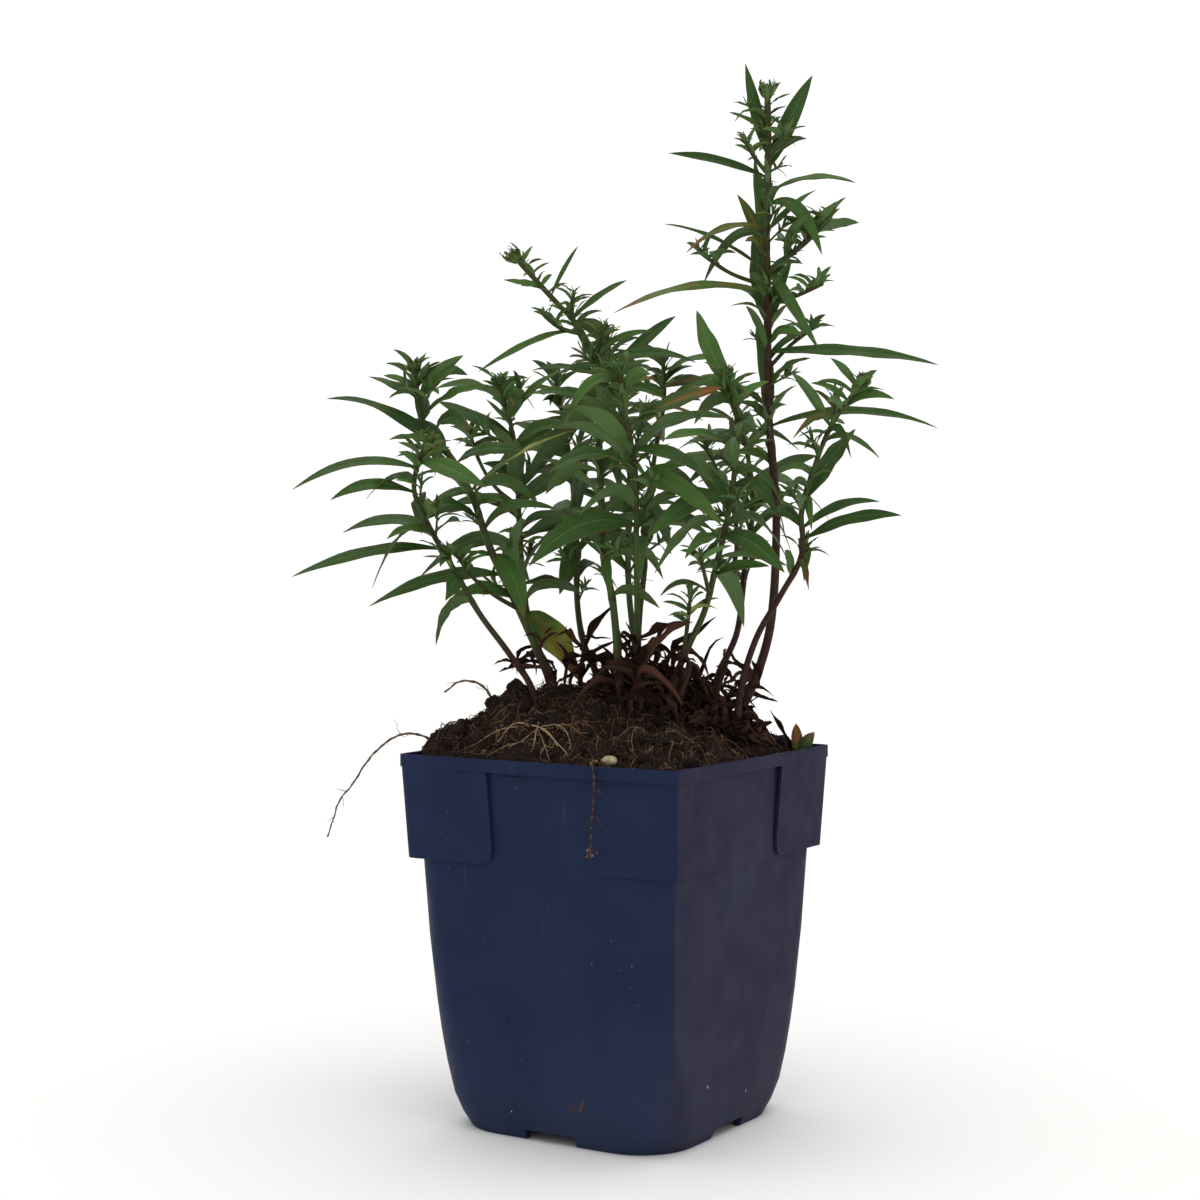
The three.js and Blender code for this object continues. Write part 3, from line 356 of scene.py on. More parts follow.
@dataclass(frozen=True)
class Stem:
    """A stem. Its route is a list of points as seen, across and up, from the soil to the tip.

    A leaf is the height of its root on the stem, its tip as seen, the tip's depth, its width, how far its
    middle bows up as a share of its length, and how far it has turned: yellow below 0.4, rusty above.
    """

    name: str
    seed: int
    route: Sequence[Pair]
    depth: Pair
    thick: float
    thin: float
    growth: Optional[Rhythm] = None
    leaves: Sequence[tuple[float, ...]] = ()
    shoots: Sequence[Shoot] = ()
    crown: Optional[Bunch] = None
    dead: Optional[Bunch] = None
    bud: float = 3.6
    bark: float = 0.5
    green_from: float = 240


STEMS = [
    Stem("stem_far_left", 101, depth=(-14, -34), thick=1.5, thin=0.9, bark=0.65,
        growth=Rhythm(186, 6.6, 30, 8.4, 0.25), crown=Bunch(6, 13), dead=Bunch(2, 12, start=14),
        route=[(-29, 150), (-33.5, 157), (-44, 169), (-54, 186), (-63, 201), (-71, 218), (-70, 227),
            (-67.5, 236)],
        leaves=[(226, -113.5, 221, -44, 5.6, 0.18), (199, -114, 192, -46, 5.6, 0.16),
            (203, -81, 206, -52, 5, 0.12), (218, -101, 219, -50, 5, 0.12), (204, -55.5, 209.5, -46, 5, 0.1),
            (189, -60.5, 181, -34, 8, 0.36), (228, -47, 222, -60, 7, 0.16)]),
    Stem("stem_left", 102, depth=(-2, -8), thick=1.9, thin=1, bark=0.35,
        growth=Rhythm(194, 6.2, 32, 9.4, 0.25), crown=Bunch(7, 14), dead=Bunch(3, 12, start=12),
        route=[(-22, 146), (-25, 155), (-33, 174), (-41.5, 192), (-47, 204.5), (-53, 223), (-60.5, 233.5),
            (-67.5, 242), (-71, 251), (-70.7, 261)],
        leaves=[(229, -101.6, 251.8, -14, 7.4, 0.3), (252, -87, 260, 2, 5, 0.08),
            (250, -56, 263, -14, 5, 0.1), (244, -47, 258, -18, 6, 0.16), (234, -80, 240, -30, 5, 0.1),
            (190, -87, 180, -16, 6, 0.18), (182, -60, 182, -22, 8.4, 0.3),
            (208, -68, 209.5, -26, 7.6, 0.45), (197, -33, 176, -16, 9, 0.24),
            (219, -16, 243, -36, 7, 0.06, 0.36)],
        shoots=[Shoot(178, [(-48, 186), (-56, 196)], -24, Bunch(5, 13))]),
    Stem("stem_left_inner", 113, depth=(12, 22), thick=1.6, thin=0.9, bark=0.35,
        growth=Rhythm(190, 6.2, 32, 10, 0.25), crown=Bunch(7, 14), dead=Bunch(3, 13, start=12),
        route=[(-22, 146), (-28.8, 164), (-32, 176), (-34, 195), (-35, 216), (-36, 235), (-41.5, 256)],
        leaves=[(218, -36, 238, 0, 10, 0.02), (219, -2, 264, 0, 8.6, 0.04),
            (176, -13, 153.5, -8, 15, 0.22, 0.37), (238, -63, 251, 34, 6, 0.14),
            (246, -20, 262, 10, 5.6, 0.1)],
        shoots=[Shoot(214, [(-46, 224), (-52, 240)], 30, Bunch(6, 13))]),
    Stem("stem_back_left", 104, depth=(26, 50), thick=1.6, thin=0.9, bark=0.5,
        growth=Rhythm(190, 6.6, 33, 8.2, 0.08), crown=Bunch(7, 14), dead=Bunch(2, 13, start=14),
        route=[(-5.5, 149), (-12.8, 168), (-14.5, 180), (-14.5, 200), (-17, 230), (-22, 258)],
        leaves=[(232, -44, 236, 70, 7, 0.16), (244, 8, 262, 66, 6, 0.14), (214, -30, 205, 78, 7, 0.2),
            (220, 6, 216, 84, 7, 0.2), (204, -20.5, 183, 34, 8, 0.12)]),
    Stem("stem_crooked_top", 105, depth=(-16, -6), thick=1.8, thin=1, bark=0.3, bud=5,
        growth=Rhythm(192, 6.2, 30, 7.6, 0.225, until=262), crown=Bunch(11, 9), dead=Bunch(3, 15, start=12),
        route=[(0.5, 148), (-0.5, 163.7), (-1, 175), (-5, 195), (-6, 215), (-7, 240), (-7, 262),
            (-11, 271.5), (-18.7, 282.3), (-26, 289), (-35, 299)],
        leaves=[(286, -14, 305, -4, 1.8, 0.1), (278, 2.9, 294.2, -2, 3.6, 0.12),
            (274, -49, 263.5, -16, 4.4, 0.16), (266, 11.5, 276.7, -18, 3.4, 0.12),
            (262, 27.2, 267, 2, 5.2, 0.2), (290, -40, 293, -14, 3, 0.06), (196, -3, 184.6, -34, 4.4, 0.26)],
        shoots=[Shoot(273, [(-21, 276), (-26, 280)], -12, Bunch(5, 9)),
            Shoot(277, [(-16.5, 283), (-15.6, 288)], -14, Bunch(5, 8)),
            Shoot(264, [(-6.5, 271), (-5.6, 276)], -16, Bunch(5, 8))]),
    Stem("stem_centre_front", 106, depth=(-8, -40), thick=1.5, thin=0.9, bark=0.4,
        growth=Rhythm(200, 6.2, 32, 8.6, 0.2), crown=Bunch(6, 13), dead=Bunch(3, 15, start=12),
        route=[(7, 146), (6.5, 164), (6.4, 184.6), (6, 203.4), (6, 225), (2, 248), (0, 262)],
        leaves=[(207, -32, 196, -58, 9.6, 0.2), (232, 33.3, 224, -56, 7.6, 0.2),
            (222, 36, 212, -48, 8.4, 0.24), (240, 36.4, 255, -42, 7, 0.12, 0.55),
            (226, -24, 232, -70, 8, 0.14)]),
    Stem("stem_centre", 107, depth=(12, 20), thick=1.6, thin=0.9, bark=0.25,
        growth=Rhythm(200, 6.6, 31, 7.8, 0.08), crown=Bunch(7, 13), dead=Bunch(2, 14, start=14),
        route=[(8, 148), (6, 163.7), (4, 178), (3.5, 191), (3.3, 201), (4, 225), (0, 250), (-5, 274)],
        leaves=[(258, -30, 262, 26, 5, 0.16), (262, 20, 282, 30, 5, 0.1), (246, 30, 246, 34, 7, 0.18, 0.6)],
        shoots=[Shoot(252, [(-10, 266), (-17, 281)], 32, Bunch(6, 12))]),
    Stem("stem_centre_back", 108, depth=(30, 54), thick=1.6, thin=0.9, bark=0.5,
        growth=Rhythm(196, 6.2, 33, 8.2, 0.08), crown=Bunch(7, 14), dead=Bunch(2, 14, start=14),
        route=[(5.4, 148), (6.5, 162), (7.5, 178), (9, 191), (9.2, 206), (12, 228), (16, 252), (15.5, 264)],
        leaves=[(226, 44, 232, 84, 7, 0.18), (240, -8, 240, 88, 7, 0.18), (210, 28, 200, 92, 7, 0.22),
            (250, 40, 262, 66, 6, 0.14)]),
    Stem("stem_right_front", 109, depth=(-14, -36), thick=1.6, thin=0.9, bark=0.45,
        growth=Rhythm(194, 6.2, 30, 8.2, 0.25), crown=Bunch(7, 15), dead=Bunch(3, 15, start=12),
        route=[(17, 146), (20.5, 156), (24.5, 165), (29, 174), (32.6, 188), (36, 200), (39, 216),
            (40.5, 226.5), (41.5, 240), (40.5, 251), (38, 258)],
        leaves=[(252, 27.3, 283, -24, 7, 0.04), (204, 57.3, 194, -52, 8, 0.16),
            (190, 53, 193.6, -46, 5, 0.1), (232, 16, 240, -60, 7, 0.16), (216, 10, 206, -66, 7.4, 0.22)],
        shoots=[Shoot(160, [(24, 172), (25, 182)], -26, Bunch(6, 13)), Shoot(184, [(30, 190), (28.5, 196)],
            -40, Bunch(4, 12))]),
    Stem("stem_forked_back", 110, depth=(20, 50), thick=1.7, thin=0.9, bark=1.2,
        growth=Rhythm(196, 6.6, 32, 8.2, 0.08), crown=Bunch(7, 14), dead=Bunch(2, 14, start=14),
        route=[(31, 141), (35, 155), (41.5, 170), (43, 181), (44.5, 198.5), (47, 215), (44, 236),
            (40, 252)],
        leaves=[(224, 74, 214, 74, 7, 0.2), (238, 20, 232, 82, 7, 0.2), (214, 60, 200, 88, 7, 0.22)],
        shoots=[Shoot(176, [(39.5, 194), (42, 206), (36, 222), (30, 236)], 20, Bunch(6, 13), thick=1.3,
            growth=Rhythm(200, 9, 28, 7, 0.15))]),
    Stem("stem_tall", 111, depth=(8, 6), thick=2.1, thin=1.3, bark=0.75, bud=5, green_from=350,
        growth=Rhythm(236, 6.2, 25, 6.2, 0.25, lean=14, limp=0.5), crown=Bunch(11, 10),
        dead=Bunch(3, 15, start=12),
        route=[(40.3, 134.3), (45.2, 147.9), (50.4, 160), (53.2, 174), (54.4, 187), (55, 212),
            (53.5, 231.4), (52, 247.4), (51.8, 278.5), (51.4, 312), (52, 331), (51.6, 355.5)],
        leaves=[(336, 43.8, 367, 12, 5, 0.02), (332, 67, 363.5, 12, 6.6, 0.02),
            (329, 17.2, 336.4, -6, 4.8, 0.04), (324, 82.2, 327.2, 0, 4, 0.2),
            (310, 68.3, 325, 14, 3.6, 0.1), (296, 16.1, 313.7, -2, 4, 0.08),
            (311, 23.4, 305.3, -10, 3.8, 0.2), (289, -1.9, 283.5, -14, 4.8, 0.12),
            (268, 111, 269.3, 6, 5.8, 0.06), (242, 111.3, 249, 0, 5.2, 0.14), (345, 38.3, 351, 0, 3, 0.1),
            (335, 63, 343, -6, 3, 0.08), (277, 47, 313, 14, 7, 0), (304, 47.2, 335, 14, 6.6, 0),
            (277, 60.5, 300, 18, 6.4, 0.04), (298, 70, 268, -6, 4.6, 0.16), (244, 48, 276, 16, 6.4, 0)],
        shoots=[Shoot(296, [(62, 303), (73.6, 314)], 8, Bunch(8, 11), thick=1.3, thin=1.1,
            growth=Rhythm(299, 3, 17, 6.4, 0, lean=8, limp=0.5)), Shoot(284, [(62, 287), (71, 291)],
            -2, Bunch(6, 12)), Shoot(291, [(36, 296), (28, 302)], 6, Bunch(5, 11)),
            Shoot(262, [(60, 270), (68, 276)], 22, Bunch(6, 12)), Shoot(330, [(47, 335), (44.2, 340)],
            -2, Bunch(5, 9))]),
    Stem("stem_far_right", 112, depth=(-8, -26), thick=1.6, thin=0.9, bark=1.3,
        growth=Rhythm(200, 6.2, 26, 6.6, 0.25), crown=Bunch(7, 14), dead=Bunch(2, 14, start=14),
        route=[(41, 138), (43.4, 152.5), (45.2, 159.5), (50, 172), (57, 183.5), (62, 193.7), (65.4, 200.6),
            (63.5, 209), (65, 217), (68, 227), (71.7, 234.5), (76.6, 247.4), (84, 256)],
        leaves=[(202, 98.8, 212.5, -34, 5.4, 0.16), (206, 91, 218.4, -12, 5, 0.12),
            (216, 82.5, 241.5, -10, 7.4, 0.04), (196, 66.4, 185.3, -24, 3.6, 0.3, 0.8),
            (240, 60, 262, -36, 5, 0.1)]),
]

DEAD_ROUTES = [
    ("dead_shoot_left", 201, [(-13, 149), (-15, 158), (-12, 165)], (4, 0), 18),
    ("dead_shoot_centre", 202, [(3, 148), (9, 156), (13, 166)], (-20, -22), 24),
    ("dead_shoot_middle", 203, [(22, 146), (15, 154), (19, 163)], (8, 6), 21),
    ("dead_shoot_right", 204, [(34, 141), (33, 150), (38, 160)], (-4, -8), 20),
]
STEMS += [
    Stem(name, seed, route, depth, thick=1.3, thin=0.8, dead=Bunch(count=9, start=3, size=leaf), bud=1.8)
    for name, seed, route, depth, leaf in DEAD_ROUTES
]


@dataclass
class Blade:
    """A narrow leaf on an arched midrib from its root, by way of a middle point, to its tip."""

    kind: Kind
    root: Array
    way: Array
    tip: Array
    width: float
    roll: float
    shape: str = "small"
    extra: bool = False
    turned: float = 0.0

    SHARES = {
        "large": ((0, 0), (0.2, 0.72), (0.47, 1), (0.76, 0.6), (1, 0)),
        "middle": ((0, 0), (0.3, 0.92), (0.66, 0.8), (1, 0)),
        "small": ((0, 0), (0.4, 1), (1, 0)),
    }
    THICK = 0.9
    FOLD = 0.22

    @property
    def length(self) -> float:
        """The straight length from root to tip."""
        return float(np.linalg.norm(self.tip - self.root))

    def along(self, t: Array, roll: Any = None) -> tuple[Array, ...]:
        """The midrib and its directions.

        Args:
            t: Shares of the length.
            roll: The roll at each share, or None for the blade's own.

        Returns:
            The places, the ways ahead, the ways to the side and the ways out of the upper face.
        """
        t = np.asarray(t, float)[:, None]
        ahead = unit(2 * (1 - t) * (self.way - self.root) + 2 * t * (self.tip - self.way))
        at = (1 - t) ** 2 * self.root + 2 * t * (1 - t) * self.way + t * t * self.tip
        level = unit(np.cross(ahead, UP))
        raised = np.cross(level, ahead)
        turn = np.full_like(t, self.roll) if roll is None else np.asarray(roll)[:, None]
        side = level * np.cos(turn) + raised * np.sin(turn)
        return at, ahead, side, np.cross(side, ahead)

    def rod(self) -> "Rod":
        """The blade as a row of stations, for the test of what would cross it.

        Returns:
            Its stations.
        """
        t, share = np.array(self.SHARES[self.shape]).T
        at, ahead, side, _ = self.along(t)
        half = self.width * share / 2
        thick = np.full(len(t), self.THICK / 2)
        return Rod(at, ahead, side, half, thick, self.FOLD * half)


@dataclass
class Rod:
    """A row of stations, each with a place, a way ahead, a side way and its half sizes."""

    at: Array
    ahead: Array
    side: Array
    half: Array
    thick: Array
    lift: Array

    CLEARANCE = 0.5

    @classmethod
    def round(cls, points: Array, thick: float, thin: float) -> "Rod":
        """A tapered round rod.

        Args:
            points: The row of points that it follows.
            thick: Its radius at the first point.
            thin: Its radius at the last.

        Returns:
            The rod.
        """
        last = len(points) - 1
        side = np.array([1.0, 0.0, 0.0])
        ahead, sides = [], []
        for i in range(last + 1):
            way = unit(points[min(i + 1, last)] - points[max(i - 1, 0)])
            side = unit(side - way * side.dot(way))
            ahead.append(way)
            sides.append(side)
        radius = np.linspace(thick, thin, last + 1)
        return cls(points, np.array(ahead), np.array(sides), radius, radius.copy(), radius * 0)

    BUD = ((0.25, 0.9), (0.65, 1.0), (1.0, 0.35))

    def with_bud(self, size: float) -> "Rod":
        """The rod carried on by the bud at its end.

        Args:
            size: The bud's length and greatest width.

        Returns:
            The longer rod.
        """
        along, share = np.array(self.BUD).T
        count = len(along)
        place = self.at[-1] + self.ahead[-1] * (along * size)[:, None]
        radius = share * size / 2
        return Rod(
            np.vstack([self.at, place]), np.vstack([self.ahead, [self.ahead[-1]] * count]),
            np.vstack([self.side, [self.side[-1]] * count]), np.append(self.half, radius),
            np.append(self.thick, radius), np.append(self.lift, radius * 0))

    def skin(self, sides: int, radius: Array) -> tuple["Pattern", Array, Array, Array]:
        """A tube round the rod.

        Args:
            sides: How many sides it has.
            radius: Its radius at each station, or at each station and side.

        Returns:
            The tube's pattern, its places, and the place in the ring and the ring of each vertex.
        """
        pattern = Pattern.tube(sides, len(self.at))
        around, ring = pattern.rings(sides)
        angle = (around * 2 * math.pi / sides)[:, None]
        out = np.cross(self.side, self.ahead)
        wide = radius[ring] if radius.ndim == 1 else radius[ring, around]
        ways = self.side[ring] * np.cos(angle) - out[ring] * np.sin(angle)
        return pattern, self.at[ring] + ways * wide[:, None], around, ring

    def boxes(self) -> tuple[Array, Array, Array]:
        """A thin box round each stretch between two stations.

        Returns:
            The boxes' centres, axes and half sizes.
        """
        """A thin box round each stretch between two stations: centres, axes and reaches."""
        along = self.at[1:] - self.at[:-1]
        length = np.linalg.norm(along, axis=1, keepdims=True)
        along = along / length
        side = self.side[:-1] + self.side[1:]
        side = unit(side - along * (side * along).sum(1, keepdims=True))
        out = np.cross(side, along)
        lift = np.maximum(self.lift[:-1], self.lift[1:]) / 2
        more = self.CLEARANCE / 2
        centres = (self.at[:-1] + self.at[1:]) * 0.5 + out * lift[:, None]
        reaches = np.stack([
            length[:, 0] / 2 + more,
            np.maximum(self.half[:-1], self.half[1:]) + more,
            np.maximum(self.thick[:-1], self.thick[1:]) + lift + more,
        ], axis=1)
        return centres, np.stack([along, side, out], axis=1), reaches


class Crowd:
    """Every thin box that the growth fills so far, and the stem that each belongs to."""

    ROOM = 40000

    def __init__(self) -> None:
        """Makes room for the boxes."""
        self.count = 0
        self.centres = np.zeros((self.ROOM, 3))
        self.axes = np.zeros((self.ROOM, 3, 3))
        self.reaches = np.zeros((self.ROOM, 3))
        self.owners = np.zeros(self.ROOM, int)

    def add(self, owner: int, rod: Rod) -> None:
        """Puts the boxes of a new piece of growth in.

        Args:
            owner: The stem that the piece belongs to.
            rod: The piece's stations.
        """
        centres, axes, reaches = rod.boxes()
        fresh = slice(self.count, self.count + len(centres))
        self.centres[fresh], self.axes[fresh], self.reaches[fresh] = centres, axes, reaches
        self.owners[fresh] = owner
        self.count = fresh.stop

    def is_clear(self, owner: int, rod: Rod) -> bool:
        """Whether a new piece crosses no other stem's growth.

        Args:
            owner: The stem that the piece belongs to.
            rod: The piece's stations.

        Returns:
            True where nothing is crossed.
        """
        others = self.owners[:self.count] != owner
        for centre, axes, reach in zip(*rod.boxes()):
            gap = self.centres[:self.count] - centre
            far = self.reaches[:self.count].sum(1) + reach.sum()
            near = np.flatnonzero(others & ((gap * gap).sum(1) <= far * far))
            if len(near) and self._meets(axes, reach, gap[near], self.axes[near], self.reaches[near]).any():
                return False
        return True

    @staticmethod
    def _meets(axes: Array, reach: Array, gaps: Array, others: Array, reaches: Array) -> Array:
        """Which of several boxes meet one box, by the test of separating axes.

        Args:
            axes: The one box's three axes.
            reach: Its half sizes.
            gaps: From its centre to the others' centres.
            others: The others' axes.
            reaches: Their half sizes.

        Returns:
            One truth for each of the others.
        """
        count = len(gaps)
        cross = np.cross(axes[None, :, None, :], others[:, None, :, :]).reshape(count, 9, 3)
        length = np.linalg.norm(cross, axis=2, keepdims=True)
        cross = np.where(length > 1e-3, cross / np.maximum(length, 1e-9), axes[0])
        tests = np.concatenate([np.broadcast_to(axes, (count, 3, 3)), others, cross], axis=1)
        mine = np.abs(tests @ axes.T) @ reach
        theirs = (np.abs(tests @ others.transpose(0, 2, 1)) * reaches[:, None, :]).sum(2)
        apart = np.abs((tests * gaps[:, None, :]).sum(2)) > mine + theirs
        return ~apart.any(axis=1)


@dataclass
class Branch:
    """A stem or a shoot as it grows."""

    owner: int
    line: Line
    thick: float
    thin: float
    dice: Dice
    growth: Optional[Rhythm]
    crown: Optional[Bunch]
    leaves: Sequence[tuple[float, ...]] = ()
    dead: Optional[Bunch] = None
    bud: float = 0.0
    bark: float = 0.5
    green_from: float = 240
    turn: float = 0.0
    blades: list[Blade] = field(default_factory=list)
    twigs: list[Array] = field(default_factory=list)


class Pattern:
    """A small mesh made with bmesh operators, whose copies are bent into place."""

    def __init__(self, bm: bmesh.types.BMesh) -> None:
        """Keeps a bmesh as a mesh, with its places as an array.

        Args:
            bm: The bmesh, which is freed.
        """
        self.mesh = mesh_of(bm, "pattern")
        self.places = places_of(self.mesh)
        self.faces = len(self.mesh.polygons)

    @staticmethod
    @lru_cache(maxsize=None)
    def sheet(across: int, along: int) -> "Pattern":
        """A thin closed sheet: x from -1 to 1 across, y from -1 to 1 along, z 0 above and -1 below.

        Args:
            across: How many steps it has in x.
            along: How many in y.

        Returns:
            The pattern.
        """
        bm = bmesh.new()
        bmesh.ops.create_grid(bm, x_segments=across, y_segments=along, size=1)
        bmesh.ops.solidify(bm, geom=bm.faces[:] + bm.edges[:] + bm.verts[:], thickness=1)
        for face in bm.faces:
            face.smooth = abs(face.normal.z) > 0.5
        for edge in bm.edges:
            edge.smooth = edge.calc_face_angle(0) < 1
        return Pattern(bm)

    @staticmethod
    @lru_cache(maxsize=None)
    def tube(sides: int, rings: int) -> "Pattern":
        """A closed tube of radius 1.

        Args:
            sides: How many sides it has.
            rings: How many rings of vertices, at z = 0, 1, 2 and so on.

        Returns:
            The pattern.
        """
        bm = bmesh.new()
        bmesh.ops.create_circle(bm, cap_ends=True, radius=1, segments=sides)
        end = next(iter(bm.faces))
        for ring in range(rings - 1):
            made = bmesh.ops.extrude_face_region(bm, geom=[end])["geom"]
            if ring:
                bmesh.ops.delete(bm, geom=[end], context="FACES_ONLY")
            end = next(item for item in made if isinstance(item, bmesh.types.BMFace))
            bmesh.ops.translate(bm, verts=end.verts[:], vec=(0, 0, 1))
        for face in bm.faces:
            face.smooth = abs(face.normal.z) < 0.5
        return Pattern(bm)

    @staticmethod
    @lru_cache(maxsize=None)
    def ball(detail: int) -> "Pattern":
        """An icosphere of radius 1.

        Args:
            detail: How often its faces are divided. A ball of detail 1 keeps its flat faces.

        Returns:
            The pattern.
        """
        bm = bmesh.new()
        bmesh.ops.create_icosphere(bm, subdivisions=detail, radius=1)
        for face in bm.faces:
            face.smooth = detail > 1
        return Pattern(bm)

    def rings(self, sides: int) -> tuple[Array, Array]:
        """For a tube, where its vertices are.

        Args:
            sides: How many sides the tube has.

        Returns:
            Each vertex's place in its ring, counted from +Y, and the number of its ring.
        """
        x, y, z = self.places.T
        around = np.round(np.arctan2(-x, y) / (2 * math.pi) * sides).astype(int) % sides
        return around, np.round(z).astype(int)


class Maker:
    """Gathers bent copies of patterns into the mesh of one piece."""

    def __init__(self, name: str) -> None:
        """Starts an empty piece.

        Args:
            name: The piece's name.
        """
        self.name = name
        self.bm = bmesh.new()
        self.places: list[Array] = []
        self.charts: list[Array] = []
        self.tints: list[Array] = []
        self.looks: list[Array] = []

    def add(self, pattern: Pattern, places: Array, chart: Optional[Array] = None, tint: Any = (0, 0, 0, 0),
            look: int = 0) -> None:
        """Adds a copy of a pattern.

        Args:
            pattern: The pattern to copy.
            places: Where its vertices go, in millimetres.
            chart: The piece's own UV for each vertex.
            tint: Four numbers for its finish, for the copy or for each vertex.
            look: Which of the piece's finishes it has.
        """
        count = len(places)
        self.bm.from_mesh(pattern.mesh, face_normals=False, vertex_normals=False)
        self.places.append(places)
        self.charts.append(np.zeros((count, 2)) if chart is None else chart)
        self.tints.append(np.broadcast_to(np.asarray(tint, float), (count, 4)))
        self.looks.append(np.full(pattern.faces, look, np.int32))

    def bare(self) -> Mesh:
        """The mesh of all that is gathered, with nothing but its shape."""
        return mesh_of(self.bm, self.name, np.vstack(self.places))

    def finish(self, finishes: Sequence[Material], slot: Slot, nodes: Sequence[str] = ()) -> Piece:
        """Writes the mesh, and ties the piece to the frame.

        Args:
            finishes: The piece's materials.
            slot: The record's slot. Not used.
            nodes: The CAD nodes that it stands for.

        Returns:
            The finished object, at the origin.
        """
        mesh = self.bare()
        mesh.polygons.foreach_set("material_index", np.concatenate(self.looks))
        tint = mesh.attributes.new("tint", "FLOAT_COLOR", "POINT")
        tint.data.foreach_set("color", np.vstack(self.tints).ravel())
        corners = np.zeros(len(mesh.loops), np.int32)
        mesh.loops.foreach_get("vertex_index", corners)
        mesh.uv_layers.new(name="chart").uv.foreach_set("vector", np.vstack(self.charts)[corners].ravel())
        return settled(self.name, mesh, finishes, nodes)


def settled(name: str, mesh: Mesh, finishes: Sequence[Material],
            nodes: Sequence[str] = ()) -> Piece:
    """Makes the object of a finished mesh and ties it to the frame.

    Args:
        name: The piece's name.
        mesh: Its mesh, in metres, in the frame of the part.
        finishes: Its materials.
        nodes: The CAD nodes that it stands for.

    Returns:
        The object.
    """
    for finish in finishes:
        mesh.materials.append(finish)
    mesh.update()
    piece = placed(name, mesh)
    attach(piece, "root")
    if nodes:
        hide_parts(*nodes)
    return piece


@dataclass(frozen=True)
class Level:
    """One level of the pot: its height, half width and corner radii, and how far its sides bow out."""

    up: float
    half: float
    crisp: float
    soft: float
    bow: float = 0.0

    def out_by(self, more: float, up: Optional[float] = None) -> "Level":
        """The level grown outwards, at its own height or another."""
        return Level(self.up if up is None else up, self.half + more, max(self.crisp + more, 0.4),
                     max(self.soft + more, 0.4), self.bow)

    def towards(self, other: "Level", share: float) -> "Level":
        """The level a share of the way to another."""
        return Level(*(mix(a, b, share) for a, b in zip(astuple(self), astuple(other))))

    def corners(self) -> list[tuple[int, int, float]]:
        """The signs of its corners in x and y with their radii, on round from the near crisp one."""
        return [(1, -1, self.crisp), (1, 1, self.soft), (-1, 1, self.crisp), (-1, -1, self.soft)]


